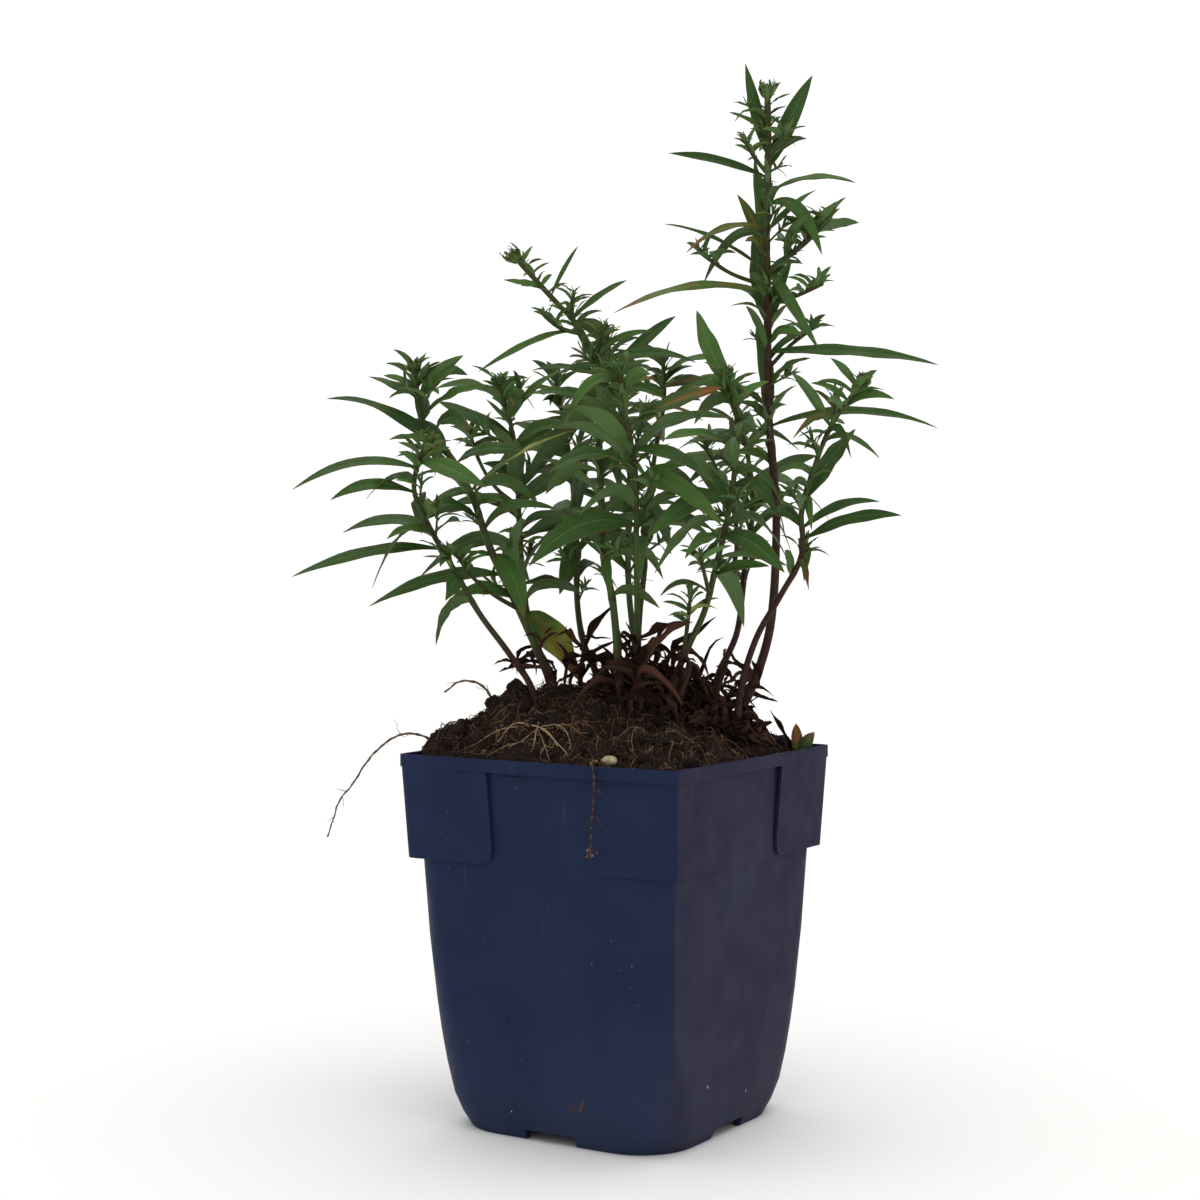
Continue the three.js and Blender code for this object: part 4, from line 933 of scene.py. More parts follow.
@dataclass
class Pot:
    """The square nursery pot: a tapered moulding with two crisp corners and two soft ones."""

    rim_side: float = 110
    rim_height: float = 129
    rim_band: float = 4.4
    rim_wall: float = 1.1
    rim_corner: float = 2.5
    rim_bow: float = 0.7
    ledge: float = 1.2
    wall: float = 1.4
    base_wall: float = 2
    floor_under: float = 3.6
    floor_top: float = 5.2
    centre_foot: float = 12
    notch_width: float = 20
    notch_reach: float = 24
    notch_out: float = 50
    drain_radius: float = 4
    drain_out: float = 30
    skirt_foot: float = 93.4
    skirt_width: float = 36
    skirt_draw_in: float = 1.8
    skirt_wall: float = 1.2
    skirt_round: float = 5
    panel_relief: float = 0.7
    panel_short: float = 32
    panel_long: float = 67
    edge_round: float = 0.3
    corner_steps: int = 8
    side_steps: int = 9

    BODY = (
        Level(0, 42.6, 20, 20), Level(5, 44.8, 20, 20), Level(12, 46.8, 19, 19.5), Level(22, 48.3, 16, 19),
        Level(33, 49.4, 8, 18), Level(44, 50.2, 4, 17), Level(66, 51.1, 3.4, 14), Level(93, 52, 3, 12),
        Level(126, 53.1, 3, 10),
    )
    OUTER_HEIGHTS = (2, 18, 27, 38, 55, 80, 108, 120)
    INNER_HEIGHTS = (108, 93, 80, 66, 55, 44, 38, 33, 27, 22, 18, 12, 9)
    WRAP_GRID = (48, 12)
    WRAP_SHARES = (-1, -0.8, -0.42, -0.4, 0.4, 0.42, 0.8, 1)

    def at(self, up: float) -> Level:
        """The pot's outside at a height.

        Args:
            up: The height.

        Returns:
            The level.
        """
        i = next((i for i, level in enumerate(self.BODY) if level.up >= up), len(self.BODY) - 1)
        low, high = self.BODY[max(i, 1) - 1], self.BODY[max(i, 1)]
        return low.towards(high, (up - low.up) / (high.up - low.up))

    def ring(self, level: Level) -> Array:
        """The points round one level, from the side's middle angle of -90 degrees on.

        Args:
            level: The level.

        Returns:
            Its points in millimetres, one row each.
        """
        rows = []
        steps = np.linspace(0, math.pi / 2, self.corner_steps + 1)
        inner = np.linspace(0, 1, self.side_steps + 2)[1:-1]
        corners = level.corners()
        for quarter, (sx, sy, radius) in enumerate(corners):
            angle = (quarter - 1) * math.pi / 2 + steps
            x = sx * (level.half - radius) + radius * np.cos(angle)
            y = sy * (level.half - radius) + radius * np.sin(angle)
            rows.append(np.stack([x, y], 1))
            other = corners[(quarter + 1) % 4][2]
            end = np.array([x[-1], y[-1]])
            out = np.array([math.cos(angle[-1]), math.sin(angle[-1])])
            ahead = np.array([-out[1], out[0]]) * (2 * level.half - radius - other)
            bow = out * level.bow * (4 * inner * (1 - inner))[:, None]
            rows.append(end + ahead * inner[:, None] + bow)
        flat = np.vstack(rows)
        return np.column_stack([flat, np.full(len(flat), level.up)])

    def profile(self) -> list[Level]:
        """The levels met on the way from under the middle foot, over the rim and down to the floor inside.

        Returns:
            The levels in that order.
        """
        foot, corner = self.centre_foot, self.rim_corner
        under = self.rim_height - self.rim_band
        shelf = under + self.ledge
        rim, mouth = self.rim_side / 2, self.rim_side / 2 - self.rim_wall
        outer = sorted({level.up for level in self.BODY if level.up < under} | set(self.OUTER_HEIGHTS))
        return [
            Level(0, foot, foot, foot), Level(self.floor_under, foot, foot, foot),
            self.at(self.floor_under).out_by(-self.base_wall), self.at(0).out_by(-self.base_wall),
            *(self.at(up) for up in (*outer, under)),
            *(Level(up, rim, corner, corner, self.rim_bow) for up in (under, self.rim_height)),
            *(Level(up, mouth, corner - 1, corner - 1, self.rim_bow) for up in (self.rim_height, shelf)),
            self.at(under).out_by(-self.wall, shelf),
            *(self.at(up).out_by(-self.wall) for up in (under, *self.INNER_HEIGHTS, self.floor_top)),
            Level(self.floor_top, foot, foot, foot),
        ]

    def eased(self, levels: Sequence[Level]) -> list[Level]:
        """The profile with its sharp edges eased.

        Args:
            levels: The levels of the profile.

        Returns:
            The levels, with three in place of each at a sharp edge.
        """
        made = [levels[0]]
        for before, here, after in zip(levels, levels[1:], levels[2:]):
            a = np.array([before.half - here.half, before.up - here.up])
            b = np.array([after.half - here.half, after.up - here.up])
            la, lb = float(np.hypot(*a)), float(np.hypot(*b))
            if a.dot(b) / (la * lb) < -0.9:
                made.append(here)
                continue
            near_a = here.towards(before, min(0.45, self.edge_round / la))
            near_b = here.towards(after, min(0.45, self.edge_round / lb))
            middle = near_a.towards(near_b, 0.5).towards(here, 0.5)
            made += [near_a, middle, near_b]
        return [*made, levels[-1]]

    def shell(self) -> Mesh:
        """The pot's body, base and rim as one closed skin, with its drains cut.

        Returns:
            Its mesh.
        """
        levels = self.eased(self.profile())
        sides = 4 * (self.corner_steps + 1 + self.side_steps)
        pattern = Pattern.tube(sides, len(levels))
        around, ring = pattern.rings(sides)
        bm = bmesh.new()
        bm.from_mesh(pattern.mesh)
        corners = np.array([self.ring(level) for level in levels])
        for vert, place in zip(bm.verts, corners[ring, around] * MM):
            vert.co = place
        bmesh.ops.remove_doubles(bm, verts=bm.verts[:], dist=0.01 * MM)
        mesh = mesh_of(bm, "pot_body")
        mesh.polygons.foreach_set("use_smooth", np.ones(len(mesh.polygons), bool))
        return self.drained(mesh)

    def drained(self, mesh: Mesh) -> Mesh:
        """Cuts the notches in the base wall and the drain holes in the floor.

        Args:
            mesh: The uncut body.

        Returns:
            The cut body.
        """
        cutters = bmesh.new()
        notch = Matrix.Diagonal((self.notch_width * MM, self.notch_reach * MM, 2 * self.floor_under * MM, 1))
        radius = self.drain_radius * MM
        for quarter in range(4):
            turn = Matrix.Rotation(quarter * QUARTER_TURN, 4, "Z")
            edge = turn @ Matrix.Translation((0, -self.notch_out * MM, 0))
            hole = turn @ Matrix.Translation((0, -self.drain_out * MM, self.floor_under * MM))
            bmesh.ops.create_cube(cutters, size=1, matrix=edge @ notch)
            bmesh.ops.create_cone(cutters, cap_ends=True, segments=24, radius1=radius, radius2=radius,
                                  depth=6 * MM, matrix=hole)
        body, cut = placed("body", mesh), placed("drains", mesh_of(cutters, "drains"))
        boolean = body.modifiers.new("drains", "BOOLEAN")
        boolean.object, boolean.solver = cut, "MANIFOLD"
        shaped = bpy.data.meshes.new_from_object(body.evaluated_get(bpy.context.evaluated_depsgraph_get()))
        for each in (body, cut):
            bpy.data.objects.remove(each)
        return shaped

    def wrap(self, maker: Maker, quarter: int, legs: Pair, rise: Pair, level_at: Callable[[float], Level],
             crisp: bool, thick: float, rounding: float) -> None:
        """Bends a thin sheet round one corner of the pot.

        Args:
            maker: Gathers the sheet.
            quarter: How many quarter turns the corner stands from the near crisp one.
            legs: How far the sheet reaches along the side before the corner and the side after it.
            rise: The heights of its lower and upper edge.
            level_at: Its outside at each height.
            crisp: Whether the corner is a crisp one.
            thick: Its thickness.
            rounding: The radius of its lower free corners.
        """
        pattern = Pattern.sheet(*self.WRAP_GRID)
        u, v, depth = pattern.places.T
        low, top = level_at(rise[0]), level_at(rise[1])
        radius, top_radius = (low.crisp, top.crisp) if crisp else (low.soft, top.soft)
        arc = radius * QUARTER_TURN / 2
        near = arc + radius * 0.2
        stops = [-legs[0], -legs[0] + rounding, -near, -arc, arc, near, legs[1] - rounding, legs[1]]
        s = np.interp(u, self.WRAP_SHARES, stops)
        free = np.minimum(s + legs[0], legs[1] - s)
        nearness = np.clip(rounding - free, 0, rounding)
        foot = rise[0] + rounding - np.sqrt(np.maximum(rounding ** 2 - nearness ** 2, 0))
        up = mix(foot, rise[1], (v + 1) / 2)
        share = (up - rise[0]) / (rise[1] - rise[0])
        bend = mix(radius, top_radius, share)
        angle = np.clip(s / arc, -1, 1) * math.pi / 4 - math.pi / 4
        out = np.stack([np.cos(angle), np.sin(angle)], 1)
        ahead = np.stack([-out[:, 1], out[:, 0]], 1)
        corner = np.array([1, -1]) * (mix(low.half, top.half, share) - bend)[:, None]
        flat = corner + out * (bend + depth * thick)[:, None] + ahead * (s - np.clip(s, -arc, arc))[:, None]
        cos, sin = math.cos(quarter * QUARTER_TURN), math.sin(quarter * QUARTER_TURN)
        x, y = flat.T
        maker.add(pattern, np.stack([x * cos - y * sin, x * sin + y * cos, up], 1))

    def skirt_at(self, up: float) -> Level:
        """The outside of the skirts at a height.

        Args:
            up: The height.

        Returns:
            The level.
        """
        corner, half = self.rim_corner, self.rim_side / 2
        foot = Level(self.skirt_foot, half - self.skirt_draw_in, corner, corner + 1)
        head = Level(self.rim_height - self.rim_band + self.ledge / 2, half - 0.05, corner, corner + 1)
        return foot.towards(head, (up - foot.up) / (head.up - foot.up))

    def panel_at(self, up: float) -> Level:
        """The outside of the raised panels at a height."""
        return self.at(up).out_by(self.panel_relief)

    def build(self) -> list[Piece]:
        """Makes the whole pot as one piece.

        Returns:
            The piece, alone in a list.
        """
        trim = Maker("trim")
        rise = (self.skirt_foot, self.rim_height - self.rim_band + self.ledge / 2)
        skirt = (self.skirt_width, self.skirt_width)
        for corner in (0, 2):
            self.wrap(trim, corner + 1, skirt, rise, self.skirt_at, False, self.skirt_wall, self.skirt_round)
            self.wrap(trim, corner, (self.panel_short, self.panel_long), rise, self.panel_at, True, 1, 0.6)
        whole = bmesh.new()
        whole.from_mesh(self.shell())
        whole.from_mesh(trim.bare())
        finish = PotPlastic().material()
        piece = settled("nursery_pot", mesh_of(whole, "nursery_pot"), [finish], ["pot"])
        piece.modifiers.new("flat faces", "WEIGHTED_NORMAL").keep_sharp = True
        return [piece]


@dataclass
class Marks:
    """Dry specks, smears and scratches on the sides of the pot that face the near corner, and painted shadow
    lines along the raised panel's edges and under the rim's ledge.
    """

    pot: Pot
    thick: float = 0.07
    sight: tuple[float, float, int] = (-90, 0, 721)

    STROKES = (
        ((-17.8, 3.8), (-13.9, 0.8), 1.6, 0.2), ((-13.9, 0.8), (-12.2, 5.6), 1.3, 0.28),
        ((31.3, 10.4), (31.3, 9.4), 0.6, 0.95), ((31.3, 9), (31.3, -1.2), 0.35, 0.36),
        ((44.8, 9.4), (44.5, 7.8), 0.5, 0.95), ((-37.6, 1.5), (-37.4, 1.2), 0.5, 0.8),
        ((-12, 11.7), (-11.7, 11), 0.7, 0.6), ((-38.9, 34.7), (-37.6, 31.6), 0.25, 0.0),
        ((-37.6, 31.6), (-36.7, 29.2), 0.25, 0.0), ((-2.9, 61.8), (-1.9, 61), 0.7, 0.3),
        ((-9.6, 49.6), (-8.9, 49.4), 0.5, 0.4), ((-6.2, 50.4), (-4.8, 50.2), 0.5, 0.5),
        ((-3, 48.7), (-1.6, 48.5), 0.4, 0.35), ((0.6, 51.2), (1.2, 50.9), 0.4, 0.5),
        ((4.6, 52.8), (4.9, 51.9), 0.5, 0.5), ((6.6, 49.2), (7.2, 48.8), 0.4, 0.3),
        # Painted shadow: the first two strokes here draw the shadow lines along the raised panel's lower and
        # upright edges, and the first stroke on the next line draws the shadow line under the rim's ledge.
        ((-9.5, 85.2), (17.4, 82.4), 0.45, 0.0), ((-10.2, 108), (-9.7, 86), 0.25, 0.0),
        ((-46, 120), (-25.5, 118.5), 0.6, 0.0), ((-33, 117.2), (-29.5, 116.9), 0.8, 0.15),
        ((27, 99), (28.4, 97), 0.9, 0.1), ((29, 103), (29.8, 98.6), 0.5, 0.1),
    )

    def on_side(self, across: float, up: float) -> Array:
        """The point where a line of sight meets the pot.

        Args:
            across: Millimetres to the right of the pot's axis, as seen.
            up: Millimetres above the ground, as seen.

        Returns:
            The point.
        """
        for depth in np.linspace(*self.sight):
            point = EYE.seen(across, up, depth)
            if max(abs(point[0]), abs(point[1])) < self.pot.at(point[2]).half:
                break
        return point

    def build(self) -> list[Piece]:
        """Makes the marks as one piece.

        Returns:
            The piece, alone in a list.
        """
        maker = Maker("pot_marks")
        pattern = Pattern.ball(2)
        for start, end, width, shade in self.STROKES:
            first, last = self.on_side(*start), self.on_side(*end)
            middle = (first + last) / 2
            out = np.array([1.0, 0, 0]) if middle[0] > -middle[1] else np.array([0, -1.0, 0])
            along = last - first
            side = unit(np.cross(out, along)) * width / 2
            x, y, z = pattern.places[:, :, None].transpose(1, 0, 2)
            along = along / 2 + unit(along) * width / 4
            maker.add(pattern, middle + x * along + y * side + z * out * self.thick, tint=(shade, 0, 0, 1))
        return [maker.finish([MarkFinish().material()], Slot.POT)]


@dataclass
class Soil:
    """The heap of peat that fills the pot, and what is loose on it."""

    pot: Pot
    gap: float = 0.3
    edge: float = 125.6
    front: float = 1.8
    slope: float = 10
    peak_depth: float = 4
    reach: float = 60
    steps: int = 170
    crumbs: int = 3600
    clods: int = 260
    fibres: int = 3300

    SKYLINE = ((-80, 128), (-68, 137.5), (-49, 140.5), (-35, 149), (-8, 150), (16, 144.5), (43, 133.5),
               (76, 127))
    WALL_HEIGHTS = (100, 66, 33, 12)

    def half(self, margin: float) -> float:
        """Half the width inside the pot's wall at the soil's edge, less a margin."""
        return self.pot.at(self.edge).half - self.pot.wall - margin

    def inside(self, x: Any, y: Any) -> Any:
        """How far places lie from the pot's wall."""
        return self.half(0) - np.maximum(np.abs(x), np.abs(y))

    def top(self, x: Any, y: Any) -> Any:
        """Height of the soil's top: a heap with small lumps, lowest along the pot's wall.

        Args:
            x: Places in the frame of the part, one or many.
            y: The same.

        Returns:
            The heights in millimetres.
        """
        cos, sin = math.cos(EYE.turn), math.sin(EYE.turn)
        across, depth = x * cos + y * sin, y * cos - x * sin
        places, heights = zip(*self.SKYLINE)
        crest = np.interp(across, places, heights) - self.edge
        away = np.minimum(1, np.abs(depth - self.peak_depth) / self.reach)
        lumps = 1.3 * np.sin(x * 0.21 + 1.1) * np.cos(y * 0.19 - 0.6)
        lumps = lumps + 0.8 * np.sin(x * 0.47 - y * 0.39 + 2.3)
        rise = np.sqrt(np.minimum(1, np.maximum(0, self.inside(x, y) / self.slope)))
        front = self.front * np.clip(-(depth + 15) / 40, 0, 1)
        return self.edge + front + (crest * np.cos(away * math.pi / 2) + lumps) * rise

    def surface(self, x: Array, y: Array) -> Array:
        """The finished height of the heap: its top with clods and grains, calm along the wall.

        Args:
            x: Places in the frame of the part.
            y: The same.

        Returns:
            The heights in millimetres.
        """
        calm = np.clip(self.inside(x, y) / 6, 0.12, 1)
        at = list(zip(x, y))
        clods = np.array([noise.fractal(Vector((a * 0.075, b * 0.075, 3.1)), 0.6, 2.2, 4) for a, b in at])
        grains = np.array([noise.turbulence(Vector((a * 0.4, b * 0.4, 7.7)), 4, True) for a, b in at])
        return self.top(x, y) + (clods * 2.6 + grains * 1.5 - 1.1) * calm

    def held(self, x: Array, y: Array, level: Level) -> tuple[Array, Array]:
        """Places of a square sheet drawn in to the rounded corners of a level.

        Args:
            x: Places from -1 to 1.
            y: The same.
            level: The level that they fill.

        Returns:
            The places in millimetres.
        """
        px, py = x * level.half, y * level.half
        for sx, sy, radius in level.corners():
            centre = level.half - radius
            dx, dy = sx * px - centre, sy * py - centre
            out = (dx > 0) & (dy > 0)
            scale = np.maximum(dx, dy) / np.maximum(np.hypot(dx, dy), 1e-6)
            px = np.where(out, sx * (centre + dx * scale), px)
            py = np.where(out, sy * (centre + dy * scale), py)
        return px, py

    def heap(self) -> Piece:
        """The heap itself, closed down to the pot's floor.

        Returns:
            The piece.
        """
        bm = bmesh.new()
        bmesh.ops.create_grid(bm, x_segments=self.steps, y_segments=self.steps, size=1)
        bmesh.ops.translate(bm, verts=bm.verts[:], vec=(0, 0, self.edge))
        rim = [edge for edge in bm.edges if edge.is_boundary]
        heights = (*self.WALL_HEIGHTS, self.pot.floor_top + self.gap)
        for height in heights:
            made = bmesh.ops.extrude_edge_only(bm, edges=rim)["geom"]
            rim = [item for item in made if isinstance(item, bmesh.types.BMEdge)]
            for edge in rim:
                for vert in edge.verts:
                    vert.co.z = height
        bmesh.ops.contextual_create(bm, geom=rim)
        bmesh.ops.recalc_face_normals(bm, faces=bm.faces[:])
        mesh = mesh_of(bm, "peat_heap")
        flat = places_of(mesh)
        places = np.zeros_like(flat)
        for height in (self.edge, *heights):
            here = np.abs(flat[:, 2] - height) < 0.01
            x, y, up = flat[here].T
            x, y = self.held(x, y, self.pot.at(height).out_by(-self.pot.wall - self.gap))
            places[here] = np.stack([x, y, self.surface(x, y) if height == self.edge else up], 1)
        mesh.vertices.foreach_set("co", (places * MM).ravel())
        mesh.polygons.foreach_set("use_smooth", np.ones(len(mesh.polygons), bool))
        return settled("peat_heap", mesh, [PeatFinish().material()], ["soil"])

    def spots(self, dice: np.random.Generator, count: int, margin: float) -> tuple[Array, Array, Array]:
        """Places spread over the heap.

        Args:
            dice: The seeded generator.
            count: How many.
            margin: How far they keep from the wall.

        Returns:
            Their places, x and y, and the height of the heap there.
        """
        half = self.half(margin)
        x, y = dice.uniform(-half, half, (2, count))
        x, y = self.held(x / half, y / half, Level(0, half, 3, 9))
        return x, y, self.surface(x, y)

    def loose_crumbs(self) -> Piece:
        """Crumbs and clods of peat lying on the heap.

        Returns:
            The piece.
        """
        dice = np.random.default_rng(21)
        maker = Maker("peat_crumbs")
        pattern = Pattern.ball(1)
        x, y, ground = self.spots(dice, self.crumbs, 1.6)
        size = 0.28 + 0.9 * dice.random(self.crumbs) ** 3.2
        for i in range(self.crumbs):
            turn = Matrix.Rotation(dice.uniform(*ANY_WAY), 3, Vector(dice.normal(size=3)).normalized())
            shape = size[i] * dice.uniform(0.55, 1.35, 3)
            jagged = 1 + dice.uniform(-0.22, 0.22, (len(pattern.places), 1))
            places = (pattern.places * shape * jagged) @ np.array(turn).T
            places = places + (x[i], y[i], ground[i] + size[i] * 0.25)
            maker.add(pattern, places, tint=(dice.random(), dice.random(), 0, 1))
        pattern = Pattern.ball(2)
        x, y, ground = self.spots(dice, self.clods, 2.5)
        for i in range(self.clods):
            size = 1.1 + 2.3 * dice.random() ** 2
            shift = Vector((i, 0, 0))
            lumps = np.array([noise.fractal(Vector(p) * 1.3 + shift, 0.6, 2.2, 3) for p in pattern.places])
            shape = pattern.places * (1 + 0.55 * lumps[:, None]) * dice.uniform(0.6, 1.1, 3) * size
            at = (x[i], y[i], ground[i] + size * 0.1)
            maker.add(pattern, shape + at, tint=(dice.random() * 0.5, 0, 0, 1))
        return maker.finish([CrumbFinish().material()], Slot.SOIL)

    def loose_fibres(self) -> Piece:
        """Fibres and fine dead rootlets that lie over the heap.

        Returns:
            The piece.
        """
        dice = np.random.default_rng(22)
        maker = Maker("peat_fibres")
        rings = 8
        x, y, _ = self.spots(dice, self.fibres, 3)
        for i in range(self.fibres):
            length = dice.uniform(2, 8) if i % 3 else dice.uniform(8, 24)
            heading = dice.uniform(*ANY_WAY) + np.cumsum(dice.normal(0, 0.42, rings))
            step = length / rings
            px = self.clamped(x[i] + np.cumsum(np.cos(heading)) * step)
            py = self.clamped(y[i] + np.cumsum(np.sin(heading)) * step)
            bow = np.sin(np.linspace(0, math.pi, rings))
            lift = dice.uniform(0, 0.6) + dice.uniform(0, 3.4) * bow * dice.random()
            line = np.stack([px, py, self.surface(px, py) + lift], 1)
            radius = dice.uniform(0.08, 0.24) * np.linspace(1, 0.5, rings)
            pattern, places, _, _ = Rod.round(line, 1, 1).skin(3, radius)
            maker.add(pattern, places, tint=(dice.random(), dice.random(), 1, 1))
        return maker.finish([FibreFinish().material()], Slot.SOIL)

    def clamped(self, values: Array) -> Array:
        """Places kept inside the pot's wall."""
        return np.clip(values, -self.half(1.2), self.half(1.2))

    def build(self) -> list[Piece]:
        """Makes the heap and what is loose on it."""
        return [self.heap(), self.loose_crumbs(), self.loose_fibres()]


@dataclass
class Plant:
    """The aster: all its stems grow together, each leaf clear of the other stems' growth."""

    soil: Soil
    stem_step: float = 16
    twig_step: float = 13
    foot_depth: float = 11
    tilt: Pair = (0.5, 1.1)
    tuft_width: float = 0.21
    dead_width: float = 0.2
    tuft_droop: float = 26
    turn_spread: float = 1.3
    spring_rise: Pair = (34, 74)
    spring_drop: Pair = (10, 72)
    spring_length: Pair = (0.55, 1.25)
    spring_width: Pair = (0.55, 0.88)
    spring_misses: float = 0.12
    crown_low: Pair = (24, 56)
    crown_high: Pair = (60, 84)
    axil_tuft: Bunch = Bunch(3, 13)
    axil_low: Pair = (15, 55)
    axil_high: Pair = (30, 70)
    dead_rise: Pair = (-35, 75)
    withered_rise: Pair = (-70, 55)
    way_share: float = 0.52
    large_leaf: float = 30
    large_key_leaf: float = 24
    tuft_step: float = 1.7
    lowest_blade: float = 131
    rounds: int = 24
    sprigs: float = 0.55
    slim_leaves: float = 0.5
    withered: int = 10
    branches: list[Branch] = field(default_factory=list)
    crowd: Crowd = field(default_factory=Crowd)

    DEPTH_TRIES = (0, 7, -7, 14, -14, 21, -21, 28, -28)
    BEND_TRIES = (0, 0.45, -0.45, 0.9, -0.9, 1.35, -1.35)

    def plant_stem(self, owner: int, stem: Stem) -> None:
        """Puts one stem in, with its side shoots.

        Args:
            owner: The stem's number.
            stem: Its sizes and route.
        """
        first, last = stem.route[0][1], stem.route[-1][1]
        points = np.array([EYE.seen(across, up, mix(*stem.depth, (up - first) / (last - first)))
                           for across, up in stem.route])
        foot = points[0].copy()
        ground = self.soil.top(foot[0], foot[1])
        foot[2] = ground - self.foot_depth
        points[0, 2] = ground + 1
        line = line_of(np.vstack([foot, points]), self.stem_step)
        branch = self.branch(owner, stem, line, stem.seed)
        branch.leaves, branch.dead, branch.bud, branch.bark = stem.leaves, stem.dead, stem.bud, stem.bark
        branch.green_from = stem.green_from
        self.crowd.add(owner, Rod.round(line.points, stem.thick, stem.thin).with_bud(stem.bud))
        for index, shoot in enumerate(stem.shoots):
            root = line.at(line.distance_at_height(shoot.start))
            back = -root[0] * math.sin(EYE.turn) + root[1] * math.cos(EYE.turn)
            count = len(shoot.route)
            ways = [EYE.seen(across, up, mix(back, shoot.depth, (i + 1) / count))
                    for i, (across, up) in enumerate(shoot.route)]
            twig = line_of(np.array([root, *ways]), self.twig_step)
            self.branch(owner, shoot, twig, stem.seed * 31 + index + 7).green_from = stem.route[-1][1]
            self.crowd.add(owner, Rod.round(twig.points, shoot.thick, shoot.thin))

    def branch(self, owner: int, spec: Any, line: Line, seed: int) -> Branch:
        """A branch with its line settled.

        Args:
            owner: The number of its stem.
            spec: The stem or the shoot.
            line: Its line.
            seed: The seed of its random numbers.

        Returns:
            The branch, which the plant keeps.
        """
        dice = Dice(seed)
        made = Branch(owner, line, spec.thick, spec.thin, dice, spec.growth, spec.crown)
        made.turn = dice() * 2 * math.pi
        self.branches.append(made)
        return made

    def try_blade(self, branch: Branch, blade: Blade) -> bool:
        """Keeps a blade where it stands over the soil and crosses no other stem's growth.

        Args:
            branch: The branch that it grows on.
            blade: The blade.

        Returns:
            Whether it was kept.
        """
        rod = blade.rod()
        x, y, z = rod.at[1:].T
        if (z <= np.maximum(self.soil.top(x, y) + 1.6, self.lowest_blade)).any():
            return False
        if not self.crowd.is_clear(branch.owner, rod):
            return False
        branch.blades.append(blade)
        self.crowd.add(branch.owner, rod)
        return True

    @staticmethod
    def roll_sign(root: Array, tip: Array) -> int:
        """Which way a leaf rolls to show a face: a steep one that comes nearer shows the lower one.

        Args:
            root: The point where it grows.
            tip: Its tip.

        Returns:
            1 or -1.
        """
        reach = tip - root
        hand = 1 if reach.dot(EYE.turned(1, 0, 0)) < 0 else -1
        steep = reach[2] > math.hypot(reach[0], reach[1])
        return -hand if steep and reach.dot(EYE.turned(0, 1, 0)) < 0 else hand

    def key_leaves(self, branch: Branch) -> None:
        """The large leaves that give the plant its outline, each at the first depth that is clear.

        Args:
            branch: The branch.
        """
        for start, across, up, depth, width, bow, *turned in branch.leaves:
            root = branch.line.at(branch.line.distance_at_height(start))
            tilt = mix(*self.tilt, branch.dice())
            for shift in self.DEPTH_TRIES:
                tip = EYE.seen(across, up, depth + shift)
                length = float(np.linalg.norm(tip - root))
                roll = tilt * self.roll_sign(root, tip)
                way = mix(root, tip, 0.45) + UP * (bow * length)
                shape = "large" if length > self.large_key_leaf else "middle"
                leaf = Blade(Kind.LEAF, root, way, tip, width, roll, shape, turned=sum(turned))
                if self.try_blade(branch, leaf):
                    break

    def spring_leaf(self, branch: Branch, kind: Kind, distance: float, length: float, width: float,
                    rise: Pair, shape: str, extra: bool = False) -> None:
        """A leaf that springs at one angle and ends at another, tried at a few turns.

        Args:
            branch: The branch that it grows on.
            kind: What it is.
            distance: How far up the branch it grows.
            length: Its length.
            width: Its width.
            rise: The angles at which it springs and ends.
            shape: The name of its shape.
            extra: Whether it is one of the small ones that only fill the plant out.
        """
        root = branch.line.at(distance)
        hand = -1 if branch.dice() < 0.5 else 1
        roll = hand * mix(*self.tilt, branch.dice())
        for bend in self.BEND_TRIES:
            flat = level_way(branch.turn + bend)
            way = root + swung(flat, UP, rise[0]) * length * self.way_share
            tip = root + swung(flat, UP, rise[1]) * length
            if self.try_blade(branch, Blade(kind, root, way, tip, width, roll, shape, extra)):
                break

    def spiral_leaf(self, branch: Branch, index: int) -> None:
        """The next of the leaves up a branch, in a spiral, longest at the middle.

        Args:
            branch: The branch.
            index: The leaf's number.
        """
        growth, line, dice = branch.growth, branch.line, branch.dice
        if not growth:
            return
        begin = line.distance_at_height(growth.start)
        distance = begin + index * growth.gap
        if distance > min(line.distance_at_height(growth.until), line.length - 5):
            return
        share = (distance - begin) / max(line.length - begin, 1)
        fullness = 0.62 + 0.38 * math.sin(math.pi * min(1, share * 0.9 + 0.22))
        branch.turn += GOLDEN_TURN + self.turn_spread * (dice() - 0.5)
        length = growth.length * fullness * mix(*self.spring_length, dice())
        start = math.radians(mix(*self.spring_rise, dice()) + growth.lean)
        end = start - math.radians(mix(*self.spring_drop, dice()) * growth.limp)
        width = growth.width * mix(*self.spring_width, dice())
        if dice() > self.spring_misses:
            shape = "large" if length > self.large_leaf else "middle"
            self.spring_leaf(branch, Kind.LEAF, distance, length, width, (start, end), shape)
        if dice() < growth.tufts:
            self.tuft(branch, Kind.YOUNG, distance + 2.5, self.axil_tuft, self.axil_low, self.axil_high)

    def tuft(self, branch: Branch, kind: Kind, distance: float, bunch: Bunch, low: Pair, high: Pair,
             extra: bool = False) -> None:
        """Short leaves close together, each at its own length.

        Args:
            branch: The branch that they grow on.
            kind: What they are.
            distance: How far up the branch the first one grows.
            bunch: How many, and how long.
            low: The angles between which the first one rises.
            high: The angles between which the last one rises.
            extra: Whether they only fill the plant out.
        """
        for i in range(bunch.count):
            share = i / max(bunch.count - 1, 1)
            branch.turn += GOLDEN_TURN
            length = bunch.size * mix(0.72, 1.1, branch.dice())
            rise = mix(mix(low[0], high[0], share), mix(low[1], high[1], share), branch.dice())
            angles = (math.radians(rise), math.radians(rise - self.tuft_droop))
            width = length * (self.dead_width if kind is Kind.DEAD else self.tuft_width)
            place = distance + i * self.tuft_step
            self.spring_leaf(branch, kind, place, length, width, angles, "small", extra)

